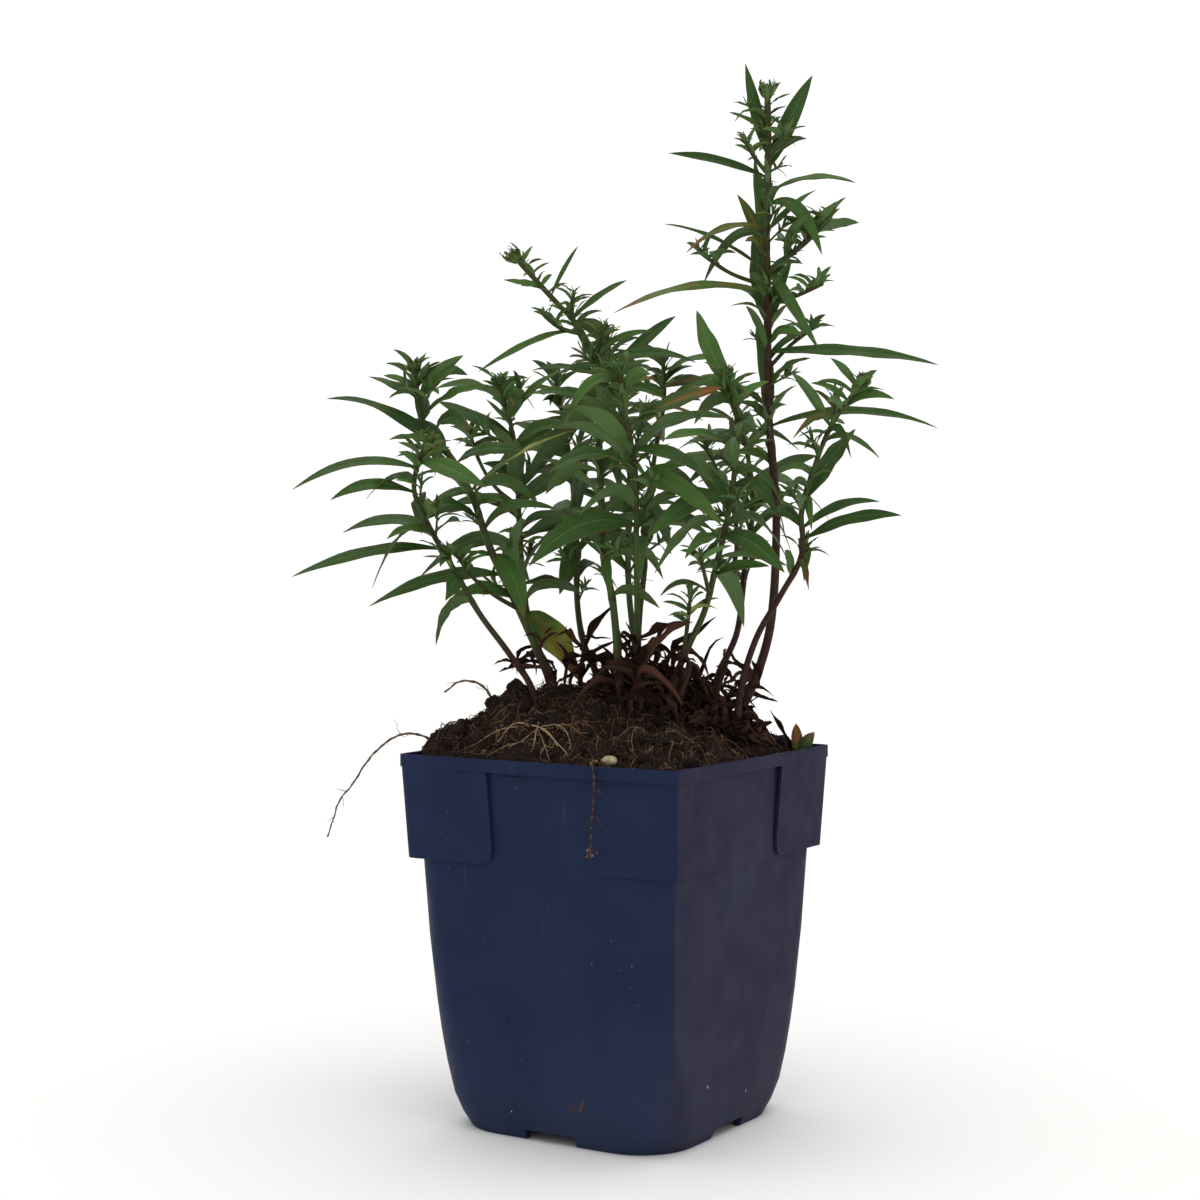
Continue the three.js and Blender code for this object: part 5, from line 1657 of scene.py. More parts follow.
    def grow(self) -> None:
        """Grows the whole plant by the rule of its solids."""
        for owner, stem in enumerate(STEMS):
            self.plant_stem(owner, stem)
        for branch in self.branches:
            self.key_leaves(branch)
        for branch in self.branches:
            if branch.crown:
                distance = branch.line.length - self.tuft_step * branch.crown.count
                self.tuft(branch, Kind.YOUNG, distance, branch.crown, self.crown_low, self.crown_high)
        for branch in self.branches:
            bunch = branch.dead or Bunch(0, 0)
            for i in range(bunch.count):
                distance = self.foot_depth + bunch.start + i * self.tuft_step
                self.tuft(branch, Kind.DEAD, distance, Bunch(1, bunch.size), self.dead_rise, self.dead_rise)
        for i in range(self.rounds):
            for branch in self.branches:
                self.spiral_leaf(branch, i)

    def sprig(self, branch: Branch, distance: float, size: float, count: int) -> None:
        """A star of small curved leaves round a short side bud in a leaf's axil.

        Args:
            branch: The branch that it grows on.
            distance: How far up the branch.
            size: The length of its longest leaves.
            count: How many leaves.
        """
        dice = branch.dice
        root = branch.line.at(distance)
        axis = swung(level_way(branch.turn), UP, math.radians(dice.between(25, 70)))
        side = unit(np.cross(axis, UP))
        other = np.cross(side, axis)
        foot = root + axis * size * dice.between(0.25, 0.8)
        branch.twigs.append(np.array([root, foot + axis * size * 0.3]))
        for i in range(count):
            share = (i + 0.5) / count
            out = swung(side, other, i * GOLDEN_TURN)
            wide = math.radians(mix(82, 10, share) + dice.between(-12, 12))
            length = size * mix(1.0, 0.55, share) * dice.between(0.75, 1.2)
            start = foot + axis * size * 0.3 * share
            way = start + swung(axis, out, wide * 0.55) * length * self.way_share
            tip = start + swung(axis, out, wide) * length
            width = length * self.tuft_width * dice.between(0.8, 1.2)
            roll = dice.between(-0.8, 0.8)
            self.try_blade(branch, Blade(Kind.YOUNG, start, way, tip, width, roll, "small", True))

    def fill_axils(self, branch: Branch, index: int) -> None:
        """Adds what is too fine for the solids next up a branch: a sprig and a slim leaf.

        Args:
            branch: The branch.
            index: How many have gone before.
        """
        growth, line, dice = branch.growth, branch.line, branch.dice
        if not growth:
            return
        distance = line.distance_at_height(growth.start - 14) + (index + 0.5) * growth.gap
        if distance > min(line.distance_at_height(growth.until), line.length - 6):
            return
        branch.turn += GOLDEN_TURN
        if dice() < self.sprigs:
            self.sprig(branch, distance, growth.length * dice.between(0.24, 0.44), 7)
        branch.turn += GOLDEN_TURN
        if dice() < self.slim_leaves:
            length = growth.length * dice.between(0.5, 1.1)
            rise = dice.between(10, 76) + growth.lean
            width = growth.width * dice.between(0.5, 0.9)
            angles = (math.radians(rise), math.radians(rise - dice.between(10, 70)))
            self.spring_leaf(branch, Kind.LEAF, distance + 1.5, length, width, angles, "middle", True)

    def fill_out(self) -> None:
        """Adds what is too fine for the solids, in the axils, at the tips and round the feet."""
        for i in range(self.rounds):
            for branch in self.branches:
                self.fill_axils(branch, i)
        for branch in self.branches:
            if branch.crown:
                distance, size = branch.line.length, branch.crown.size
                self.tuft(branch, Kind.YOUNG, distance - 7, Bunch(4, size * 0.9), (15, 50), (45, 75), True)
                self.tuft(branch, Kind.YOUNG, distance - 3, Bunch(6, size * 0.5), (50, 75), (70, 86), True)
        rise = self.withered_rise
        for branch in self.branches:
            if branch.dead:
                across = branch.line.points[0].dot(EYE.turned(1, 0, 0))
                for _ in range(round(self.withered * float(smooth(across, -30, 0)))):
                    distance = self.foot_depth + branch.dice.between(1, 24)
                    size = branch.dice.between(8, 18)
                    self.tuft(branch, Kind.DEAD, distance, Bunch(1, size), rise, rise, True)

    def build(self) -> list[Piece]:
        """Grows the plant and makes one piece of each stem.

        Returns:
            The pieces, in the order of the stems.
        """
        self.grow()
        self.fill_out()
        leaves = (("aster_leaf", Kind.LEAF), ("aster_young_leaf", Kind.YOUNG),
                  ("aster_dead_leaf", Kind.DEAD))
        finishes = [StemBark().material(), *(LeafBlade(*leaf).material() for leaf in leaves)]
        pieces = []
        for owner, stem in enumerate(STEMS):
            maker = Maker("grown_" + stem.name)
            dresser = Dresser(maker, Dice(stem.seed * 13 + 5), stem.growth is None)
            for branch in self.branches:
                if branch.owner == owner:
                    dresser.branch(branch)
            slot = Slot.DEAD_LEAF if stem.growth is None else Slot.FOLIAGE
            pieces.append(maker.finish(finishes, slot, [stem.name]))
        return pieces


@dataclass
class Dresser:
    """Bends the fine stems, leaves and buds of one stem into place."""

    maker: Maker
    dice: Dice
    dead: bool

    BARK, LEAF, YOUNG, DEAD = 0, 1, 2, 3
    GRIDS = {"large": (6, 14), "middle": (6, 10), "small": (4, 7)}
    STEM_SIDES = 10
    STEM_STEP = 2.0
    BUD_SCALES = 13
    LONG, LARGE = 15, 24
    TWIST, CURL, FOLD = (-0.7, 0.7), (1.5, 2.8), (0.15, 0.75)
    WAVES, WAVE_HEIGHT = (1.4, 3.6), (0.02, 0.1)
    HOOK, DROOP, SWAY = (-0.03, 0.03), (0.0, 0.13), (-0.05, 0.05)
    DEAD_HOOK, DEAD_SWAY = (-0.5, 0.5), (-0.3, 0.3)
    YELLOW_BELOW = 0.4

    def branch(self, branch: Branch) -> None:
        """Dresses one branch: its rod, its blades, its twigs and its bud.

        Args:
            branch: The branch.
        """
        self.rod(branch)
        for blade in branch.blades:
            self.blade(blade)
        for root, end in branch.twigs:
            rod = Rod.round(np.array([root, mix(root, end, 0.5), end]), 0.55, 0.4)
            pattern, places, _, _ = rod.skin(4, rod.half)
            self.maker.add(pattern, places, None, (0.1, 0, 0.5, 1), self.BARK)
        if branch.bud and not self.dead:
            self.bud(branch)

    def rod(self, branch: Branch) -> None:
        """The round stem, a little swollen where its leaves grow, with a colour that ages downwards.

        Args:
            branch: The branch.
        """
        line = Line(curved(branch.line.points, 8))
        count = max(6, int(line.length / self.STEM_STEP))
        distances = np.linspace(0, line.length, count)
        points = np.array([line.at(d) for d in distances])
        rod = Rod.round(points, branch.thick * 0.84, branch.thin * 0.8)
        swell = np.zeros(count)
        for blade in branch.blades:
            if blade.kind is not Kind.YOUNG or not blade.extra:
                place = float(np.argmin(np.linalg.norm(points - blade.root, axis=1)))
                swell = np.maximum(swell, np.exp(-((np.arange(count) - place) / 0.8) ** 2))
        sides = self.STEM_SIDES
        ridge = 1 + 0.05 * np.cos(np.arange(sides) / sides * 8 * math.pi)
        radius = (rod.half * (1 + 0.14 * swell))[:, None] * ridge[None, :]
        pattern, places, around, ring = rod.skin(sides, radius)
        height = rod.at[:, 2]
        age = branch.bark * (1 - smooth(height, branch.green_from - 85, branch.green_from))
        age = age + 0.9 * (1 - smooth(height, 146, 170)) if not self.dead else np.full(count, 1.3)
        tint = np.stack([age, swell, np.full(count, self.dice()), np.ones(count)], 1)[ring]
        chart = np.stack([around / sides, distances[ring] / 10], 1)
        self.maker.add(pattern, places, chart, tint, self.BARK)

    def blade(self, blade: Blade) -> None:
        """One leaf, bent from a thin sheet along the blade's own midrib.

        Args:
            blade: The blade.
        """
        dice = self.dice
        dead = blade.kind is Kind.DEAD
        long = blade.length > self.LONG
        size = "small" if not long else "middle" if blade.length < self.LARGE else "large"
        pattern = Pattern.sheet(*self.GRIDS[size])
        x, y, depth = pattern.places.T
        u = np.sign(x) * np.abs(x) ** 1.3
        t = (y + 1) / 2
        twist = dice.between(*self.TWIST) * (3.2 if dead else 1)
        roll = blade.roll + twist * (t - 0.35)
        at, _, side, out = blade.along(t, roll)
        rise, fall = (0.85, 0.92) if long else (0.55, 0.8)
        peak = rise / (rise + fall)
        outline = t ** rise * (1 - t) ** fall / (peak ** rise * (1 - peak) ** fall)
        outline = np.maximum(outline, (0.13 if long else 0.26) * (1 - smooth(t, 0, 0.3)))
        outline = np.maximum(outline, 0.02)
        half = blade.width / 2 * outline * (1.15 if dead else 0.95)
        if dead:
            half = half * (1 + 0.35 * np.sin(CYCLE * (dice.between(1.2, 2.6) * t + dice())) * np.sign(u))
        curl = dice.between(*self.CURL)
        fold = dice.between(*self.FOLD)
        if dead:
            wide, lift = half * np.sin(u * curl) / curl, half * (1 - np.cos(u * curl)) / curl
        else:
            wide = half * u * math.cos(fold)
            lift = half * math.sin(fold) * (np.sqrt(u * u + 0.03) - 0.17) - half * 0.22 * u ** 4
        waves, phase = dice.between(*self.WAVES), dice.between(*ANY_WAY)
        ripple = np.sin(CYCLE * waves * t + phase + 1.9 * np.sign(u))
        wave = dice.between(*self.WAVE_HEIGHT) * blade.width * u * u * ripple
        wave = wave * np.sin(math.pi * t) * (4.5 if dead else 1)
        hook = dice.between(*self.HOOK) * blade.length * t ** 2.6
        level = np.linalg.norm((blade.tip - blade.root)[:2]) / max(blade.length, 1)
        droop = dice.between(*self.DROOP) * blade.length * t ** 3.2 * (level ** 2 if long else 0.4)
        sway = dice.between(*self.SWAY) * blade.length * np.sin(math.pi * t ** 1.2)
        if dead:
            hook = dice.between(*self.DEAD_HOOK) * blade.length * t ** 2
            sway = dice.between(*self.DEAD_SWAY) * blade.length * np.sin(4.4 * t)
        thick = (0.34 if long else 0.26) * (1 - 0.5 * t) + 0.5 * (1 - smooth(t, 0, 0.14)) * (np.abs(u) < 0.4)
        off = lift + wave + hook + depth * thick
        places = at + side * (wide + sway)[:, None] + out * off[:, None] - UP * droop[:, None]
        up = blade.root[2]
        yellow, rusty = (blade.turned, 0.0) if blade.turned < self.YELLOW_BELOW else (0.0, blade.turned)
        brown = max(0.0 if dice() < 0.9 else dice.between(0.15, 1), 1.2 * rusty)
        warm = dice() * (0.62 + 0.38 * (1 - smooth(up, 165, 215))) + 0.5 * (1 - smooth(up, 172, 182))
        warm = np.maximum(warm * (1 - blade.turned), 3.1 * yellow * (0.55 + 0.65 * t))
        shade = max(dice(), 2.6 * yellow)
        tint = np.stack([np.full(len(u), shade), warm, brown + 2 * blade.turned * t ** 4, depth + 1], 1)
        look = {Kind.DEAD: self.DEAD, Kind.YOUNG: self.YOUNG}.get(blade.kind, self.LEAF)
        self.maker.add(pattern, places, np.stack([(u + 1) / 2, t], 1), tint, look)

    def bud(self, branch: Branch) -> None:
        """The bud at a stem's tip, wrapped in small pointed scales.

        Args:
            branch: The stem.
        """
        line, size = branch.line, branch.bud
        end = line.points[-1]
        ahead = unit(line.points[-1] - line.points[-2])
        side = unit(np.cross(ahead, [0.3, 0.9, 0.1]))
        other = np.cross(ahead, side)
        pattern = Pattern.ball(2)
        core = pattern.places * size * 0.42
        places = end + side * core[:, :1] + other * core[:, 1:2] + ahead * (core[:, 2:] * 1.15 + size * 0.4)
        self.maker.add(pattern, places, np.tile([0.5, 0.5], (len(places), 1)), (0.5, 0.6, 0, 1), self.YOUNG)
        for i in range(self.BUD_SCALES):
            out = swung(side, other, i * GOLDEN_TURN)
            ring = i / self.BUD_SCALES
            root = end + ahead * size * (0.02 + 0.25 * ring) + out * size * 0.2
            way = end + ahead * size * (0.5 + 0.3 * ring) + out * size * (0.95 - 0.25 * ring)
            tip = end + ahead * size * (0.95 + 0.45 * ring) + out * size * (0.3 + self.dice() * 0.3)
            self.blade(Blade(Kind.YOUNG, root, way, tip, size * 0.42, 0.0))


@dataclass
class Litter:
    """Curled dead leaves that lie round the feet of the stems, and a few strays that stand by the rim."""

    soil: Soil
    roots: "Roots"
    count: int = 340
    middle: Pair = (22, 4)
    spread: Pair = (15, 13)
    reach: Pair = (29, 29)
    pile: float = 12
    stray_roll: float = 1.3

    STRAYS = (
        (Kind.DEAD, (61.5, 9), (50, 139), 2.8, 2.5, 0.0),
        (Kind.LEAF, (63.5, 9), (62, 138), 4.6, 0.3, 1.9),
        (Kind.LEAF, (64.5, 8), (68.5, 135), 5.2, -1.0, 0.48),
    )

    def build(self) -> list[Piece]:
        """Makes the litter as one piece.

        Returns:
            The piece, alone in a list.
        """
        maker = Maker("dead_leaf_litter")
        dresser = Dresser(maker, Dice(4711), True)
        dice = np.random.default_rng(41)
        half = self.soil.half(3)
        for _ in range(self.count):
            off = np.clip(dice.normal(0, self.spread, 2), -np.array(self.reach), self.reach)
            x, y, _ = EYE.turned(*(np.array(self.middle) + off), 0)
            x, y = np.clip((x, y), -half, half)
            heading, length = dice.uniform(*ANY_WAY), dice.uniform(6, 17)
            flat, rise = length * dice.uniform(0.45, 0.9), dice.uniform(-0.5, 0.5) * length
            ahead = np.array([math.cos(heading) * flat, math.sin(heading) * flat, rise]) / 2
            near = math.exp(-float((off / self.spread) @ (off / self.spread)) / 2)
            middle = np.array([x, y, self.soil.top(x, y) + dice.uniform(0.5, 2 + self.pile * near)])
            root, tip = middle - ahead, middle + ahead
            for end in (root, tip):
                end[:2] = np.clip(end[:2], -half, half)
                end[2] = max(end[2], self.soil.top(end[0], end[1]) + 0.5)
            way = mix(root, tip, 0.5) + dice.normal(0, 0.22, 3) * length
            way[2] = max(way[2], middle[2])
            dresser.blade(Blade(Kind.DEAD, root, way, tip, dice.uniform(2.6, 6), dice.uniform(-1.5, 1.5)))
        for kind, (across, depth), (right, up), width, bow, turned in self.STRAYS:
            root = self.roots.on_soil(across, depth, -0.5)
            tip = EYE.seen(right, up, depth)
            way = mix(root, tip, 0.5) + EYE.turned(bow, 0, 0)
            roll = self.stray_roll if right < across else -self.stray_roll
            dresser.blade(Blade(kind, root, way, tip, width, roll, turned=turned))
        fallen = LeafBlade("fallen_leaf", Kind.DEAD).material()
        stray = LeafBlade("stray_leaf", Kind.LEAF).material()
        return [maker.finish([fallen, stray, stray, fallen], Slot.DEAD_LEAF)]


@dataclass
class Roots:
    """The bare roots that show on the heap and over the rim."""

    soil: Soil
    step: float = 7
    gap: float = 1
    hanging_depth: float = -15
    arch_depth: float = -4
    strands: int = 5

    KNOT = (-27.5, -33)
    SPREAD = ((-52, -24.5), (-41, -30), (-29, -41), (-16.5, -46.5), (-20.5, -40))
    SIDES = 8

    def on_soil(self, across: float, depth: float, above: float) -> Array:
        """A point that stands on the soil, or just over it."""
        x, y = self.soil.clamped(EYE.turned(across, depth, 0)[:2])
        return np.array([x, y, self.soil.top(x, y) + above])

    def on_wall(self, across: float, up: float, wall: float) -> Array:
        """The point of a line of sight that lies at the pot's wide left side."""
        near, far = EYE.seen(across, up, 0), EYE.seen(across, up, 100)
        return mix(near, far, (wall - near[1]) / (far[1] - near[1]))

    def hanging(self) -> Routes:
        """The root that leaves the soil at the left corner, passes over the rim and hangs down.

        Returns:
            Its points and its radius at both ends.
        """
        foot = EYE.seen(-57, 127, -14)
        foot[2] = 123
        route = [(-64, 131), (-70.4, 134.6), (-77.3, 133.7), (-80.5, 131.8), (-85.4, 127.4), (-92.7, 117.6),
                 (-99.1, 109), (-99.7, 104.3), (-101.9, 98.1)]
        points = [foot, *(EYE.seen(across, up, self.hanging_depth) for across, up in route)]
        return [(np.array(points), 0.46, 0.24)]

    def over_wall(self) -> Routes:
        """The root that comes over the rim of the wide left side and hangs against the pot.

        Returns:
            Its points and its radius at both ends.
        """
        pot = self.soil.pot
        clear = -pot.rim_side / 2 - pot.rim_bow - self.gap
        over = self.on_wall(-9.5, 125.1, clear + 0.5)
        start, top = over + (-1, 8, 0), over + (-0.6, 4, 0)
        start[2], top[2] = 123, pot.rim_height + 1.6
        route = [(-9.3, 121.6), (-8.6, 114.8), (-9.4, 101), (-10, 89.7)]
        return [(np.array([start, top, over, *(self.on_wall(a, b, clear) for a, b in route)]), 0.4, 0.22)]

    def arched(self) -> Routes:
        """The loose arch of root on the left of the heap, its far end free.

        Returns:
            Its points and its radius at both ends.
        """
        route = [(-44.5, 147.5), (-46.5, 150.2), (-50, 152.6), (-54, 153), (-58, 151.4), (-61, 148.8)]
        foot = EYE.seen(-43, 141, self.arch_depth)
        foot[2] = self.soil.top(foot[0], foot[1]) - 4
        return [(np.array([foot, *(EYE.seen(a, b, self.arch_depth) for a, b in route)]), 0.58, 0.3)]

    def spread(self) -> Routes:
        """The pale roots that spread over the front of the mound from one knot.

        Returns:
            For each root its points and its radius at both ends.
        """
        knot = self.on_soil(*self.KNOT, 0.9)
        made = []
        for across, depth in self.SPREAD:
            end = self.on_soil(across, depth, -0.6)
            middle = mix(knot, end, 0.5)
            middle[2] = max(self.soil.top(middle[0], middle[1]), middle[2]) + 1.6
            made.append((np.array([knot, middle, end]), 0.27, 0.16))
        dice = np.random.default_rng(77)
        for i in range(self.strands):
            heading = dice.uniform(3.4, 6.9) if i % 4 else dice.uniform(*ANY_WAY)
            bend, length = dice.uniform(-0.9, 0.9), dice.uniform(9, 30)
            route = [knot - (0, 0, 0.8)]
            for share in (0.3, 0.65, 1.0):
                turned = heading + bend * share
                ahead = np.array([math.cos(turned), math.sin(turned)]) * length * share
                lift = dice.uniform(0.8, 2.2) if share < 1 else -0.5
                route.append(self.on_soil(self.KNOT[0] + ahead[0], self.KNOT[1] + ahead[1] * 0.8, lift))
            made.append((np.array(route), dice.uniform(0.15, 0.26), 0.1))
        return made

    def piece(self, name: str, routes: Routes, seed: int, shades: Pair) -> Piece:
        """Makes the roots of one node.

        Args:
            name: The node's name.
            routes: Each root's points and its radius at both ends.
            seed: The seed of its small bends.
            shades: How pale they are, from 0 to 1.

        Returns:
            The piece.
        """
        dice = np.random.default_rng(seed)
        maker = Maker("bare_" + name)
        for points, thick, thin in routes:
            line = Line(curved(line_of(points, self.step).points, 8))
            count = max(8, int(line.length / 0.9))
            at = np.array([line.at(line.length * i / (count - 1)) for i in range(count)])
            sway = np.cumsum(dice.normal(0, 0.1, (count, 3)), axis=0)
            sway = sway - np.linspace(sway[0], sway[-1], count)
            at = at + sway * 0.8
            rod = Rod.round(at, thick, thin)
            knobs = 1 + 0.18 * np.sin(np.arange(count) * 1.7 + dice.random() * 6)
            knobs = knobs + dice.normal(0, 0.07, count)
            self.tube(maker, rod, rod.half * knobs, dice.uniform(*shades))
            for _ in range(int(line.length / 5)):
                self.rootlet(maker, rod, dice, shades)
            if name == "wall_root":
                self.scurf(maker, rod, dice)
        return maker.finish([RootSkin().material()], Slot.ROOT, [name])

    @staticmethod
    def scurf(maker: Maker, rod: Rod, dice: np.random.Generator) -> None:
        """Crumbs of soil that cling to a root, most of them where it leaves the rim and at its end.

        Args:
            maker: Gathers the crumbs.
            rod: The root.
            dice: The seeded generator.
        """
        pattern = Pattern.ball(2)
        last = len(rod.at) - 1
        for i in range(46):
            share = (0.16 + 0.16 * dice.random(), 0.9 + 0.1 * dice.random(), dice.uniform(0.2, 1))[i % 3]
            size = dice.uniform(0.2, 0.5) if i % 3 < 2 else dice.uniform(0.15, 0.35)
            off = dice.normal(0, (0.8, 0.1, 0.5)) * (i % 3 < 2)
            at = rod.at[int(share * last)] + off - (0, size * 0.3, 0)
            places = pattern.places * (1 + dice.uniform(-0.3, 0.3, (len(pattern.places), 1))) * size
            places = places * dice.uniform(0.6, 1.2, 3) + at
            maker.add(pattern, places, tint=(dice.uniform(0, 0.25), 0, 0, 1))

    def rootlet(self, maker: Maker, rod: Rod, dice: np.random.Generator, shades: Pair) -> None:
        """A hair-thin side root.

        Args:
            maker: Gathers the tubes.
            rod: The root that it grows on.
            dice: The seeded generator.
            shades: How pale it is, from 0 to 1.
        """
        start = int(dice.integers(3, len(rod.at) - 2))
        way = unit(dice.normal(size=3) * (1, 1, 0.5) + rod.ahead[start] * 0.8 - UP * 0.2)
        length = dice.uniform(1.2, 5)
        bends = np.cumsum(dice.normal(0, 0.1, (6, 3)), axis=0)
        at = rod.at[start] + (way + bends) * (np.linspace(0, 1, 6) * length)[:, None]
        fine = Rod.round(at, 0.16, 0.07)
        self.tube(maker, fine, fine.half, dice.uniform(*shades), 4)

    def tube(self, maker: Maker, rod: Rod, radius: Array, shade: float, sides: int = SIDES) -> None:
        """Adds one round root.

        Args:
            maker: Gathers the tubes.
            rod: Its stations.
            radius: Its radius at each.
            shade: A number that its colour takes.
            sides: How many sides it has.
        """
        pattern, places, around, ring = rod.skin(sides, radius)
        maker.add(pattern, places, np.stack([around / sides, ring * 0.1], 1), (shade, 0, 0, 1))

    def build(self) -> list[Piece]:
        """Makes the four pieces of root.

        Returns:
            The pieces.
        """
        return [
            self.piece("hanging_root", self.hanging(), 31, (0, 0.5)),
            self.piece("wall_root", self.over_wall(), 32, (-0.5, -0.1)),
            self.piece("arched_root", self.arched(), 33, (0, 0.5)),
            self.piece("spread_roots", self.spread(), 34, (0.75, 1.2)),
        ]


@dataclass
class Pebble:
    """A small water-worn stone, half sunk in the soil behind the near corner."""

    roots: Roots
    sizes: tuple[float, float, float] = (5.6, 4.4, 3.4)
    turn: float = 0.4

    def build(self) -> list[Piece]:
        """Makes the stone.

        Returns:
            The piece, alone in a list.
        """
        maker = Maker("river_pebble")
        pattern = Pattern.ball(4)
        shift = Vector((5, 2, 1))
        dents = np.array([noise.fractal(Vector(p) * 1.7 + shift, 0.8, 2, 3) for p in pattern.places])
        shape = pattern.places * (1 + 0.07 * dents[:, None]) * (np.array(self.sizes) / 2)
        cos, sin = math.cos(self.turn), math.sin(self.turn)
        x, y, z = shape.T
        places = np.stack([x * cos - y * sin, x * sin + y * cos, z], 1) + self.roots.on_soil(-3.5, -52, 0.6)
        maker.add(pattern, places)
        return [maker.finish([StoneSkin().material()], Slot.STONE, ["pebble"])]


class Graph:
    """A material's nodes, each added and joined in one call, with a base colour that takes coats."""

    def __init__(self, name: str, colour: str) -> None:
        """Starts a material with one Principled shader and its first colour.

        Args:
            name: The material's name.
            colour: Its first colour.
        """
        self.material = bpy.data.materials.new(name)
        self.material.use_nodes = True
        self.tree = self.material.node_tree
        self.base: Any = tone(colour)

    def feed(self, inputs: Any, values: dict[Any, Any]) -> None:
        """Sets a node's inputs.

        Args:
            inputs: The node's inputs.
            values: A number, a colour, another node's socket or None for each of them.
        """
        for key, value in values.items():
            if isinstance(value, Socket):
                self.tree.links.new(value, inputs[key])
            elif value is not None:
                inputs[key].default_value = value

    def node(self, kind: str, inputs: dict[Any, Any], **settings: Any) -> bpy.types.Node:
        """Adds a node.

        Args:
            kind: Its type without the word ShaderNode.
            inputs: A number, a colour or another node's socket for each input.
            settings: Its other settings.

        Returns:
            The node.
        """
        made = self.tree.nodes.new("ShaderNode" + kind)
        for key, value in settings.items():
            setattr(made, key, value)
        self.feed(made.inputs, inputs)
        return made

    def place(self) -> Socket:
        """The object's own coordinates, in metres."""
        return self.node("TexCoord", {}).outputs["Object"]

    def chart(self) -> list[Socket]:
        """The piece's own chart, as x and y."""
        chart = self.node("UVMap", {}, uv_map="chart").outputs["UV"]
        return list(self.node("SeparateXYZ", {0: chart}).outputs)[:2]

    def tint(self) -> list[Socket]:
        """The four numbers that a piece keeps for its finish."""
        read = self.node("Attribute", {}, attribute_name="tint", attribute_type="GEOMETRY")
        return [*self.node("SeparateColor", {0: read.outputs["Color"]}).outputs, read.outputs["Alpha"]]

    def sum(self, operation: str, *values: Any, clamp: bool = False) -> Socket:
        """One sum on numbers, such as SUBTRACT or MAXIMUM."""
        return self.node("Math", dict(enumerate(values)), operation=operation, use_clamp=clamp).outputs[0]

    def times(self, first: Any, second: Any) -> Socket:
        """One number times another."""
        return self.sum("MULTIPLY", first, second)

    def plus(self, first: Any, second: Any, clamp: bool = False) -> Socket:
        """One number and another, kept from 0 to 1 where clamp is set."""
        return self.sum("ADD", first, second, clamp=clamp)

    def step(self, value: Any, low: float, high: float, to: Pair = (0, 1)) -> Socket:
        """A soft step of a number from one value to another."""
        inputs = {"Value": value, "From Min": low, "From Max": high, "To Min": to[0], "To Max": to[1]}
        return self.node("MapRange", inputs, interpolation_type="SMOOTHSTEP").outputs[0]

    def noise(self, scale: float, detail: float = 4, place: Any = None, rough: float = 0.55,
              warp: float = 0.0) -> Socket:
        """A noise from 0 to 1.

        Args:
            scale: Its features to the metre.
            detail: How many finer noises it adds.
            place: Where it is read, or None for the object's own coordinates.
            rough: How strong the finer noises are.
            warp: How far it is distorted.

        Returns:
            The noise.
        """
        inputs = {"Vector": place or self.place(), "Scale": scale, "Detail": detail, "Roughness": rough,
                  "Distortion": warp}
        return self.node("TexNoise", inputs).outputs["Fac"]

    def grain(self, scale: float, detail: float, low: float, high: float, to: Pair = (0, 1)) -> Socket:
        """A noise with a soft step."""
        return self.step(self.noise(scale, detail), low, high, to)

    def blend(self, share: Any, low: Any, high: Any) -> Socket:
        """A mix of two colours."""
        return self.node("Mix", {0: share, 6: low, 7: high}, data_type="RGBA").outputs[2]

    def coat(self, share: Any, colour: Any, most: float = 1) -> None:
        """Lays a colour over the base.

        Args:
            share: How much of it shows, from 0 to 1.
            colour: Six hex digits, or a colour's socket.
            most: What share is multiplied by.
        """
        share = share if most == 1 else self.times(share, most)
        self.base = self.blend(share, self.base, tone(colour) if isinstance(colour, str) else colour)

    def bump(self, height: Any, strength: float, distance: float) -> Socket:
        """A bump from a height."""
        inputs = {"Height": height, "Strength": strength, "Distance": distance}
        return self.node("Bump", inputs).outputs["Normal"]

    def done(self, roughness: Any, shine: float, normal: Optional[Socket] = None) -> Material:
        """Sets the shader's sockets.

        Args:
            roughness: Its roughness, a number or a socket.
            shine: Its specular level.
            normal: Its bump, if it has one.

        Returns:
            The finished material.
        """
        shader = self.tree.nodes["Principled BSDF"]
        self.feed(shader.inputs, {"Base Color": self.base, "Roughness": roughness, "Normal": normal,
                                  "Specular IOR Level": shine})
        return self.material


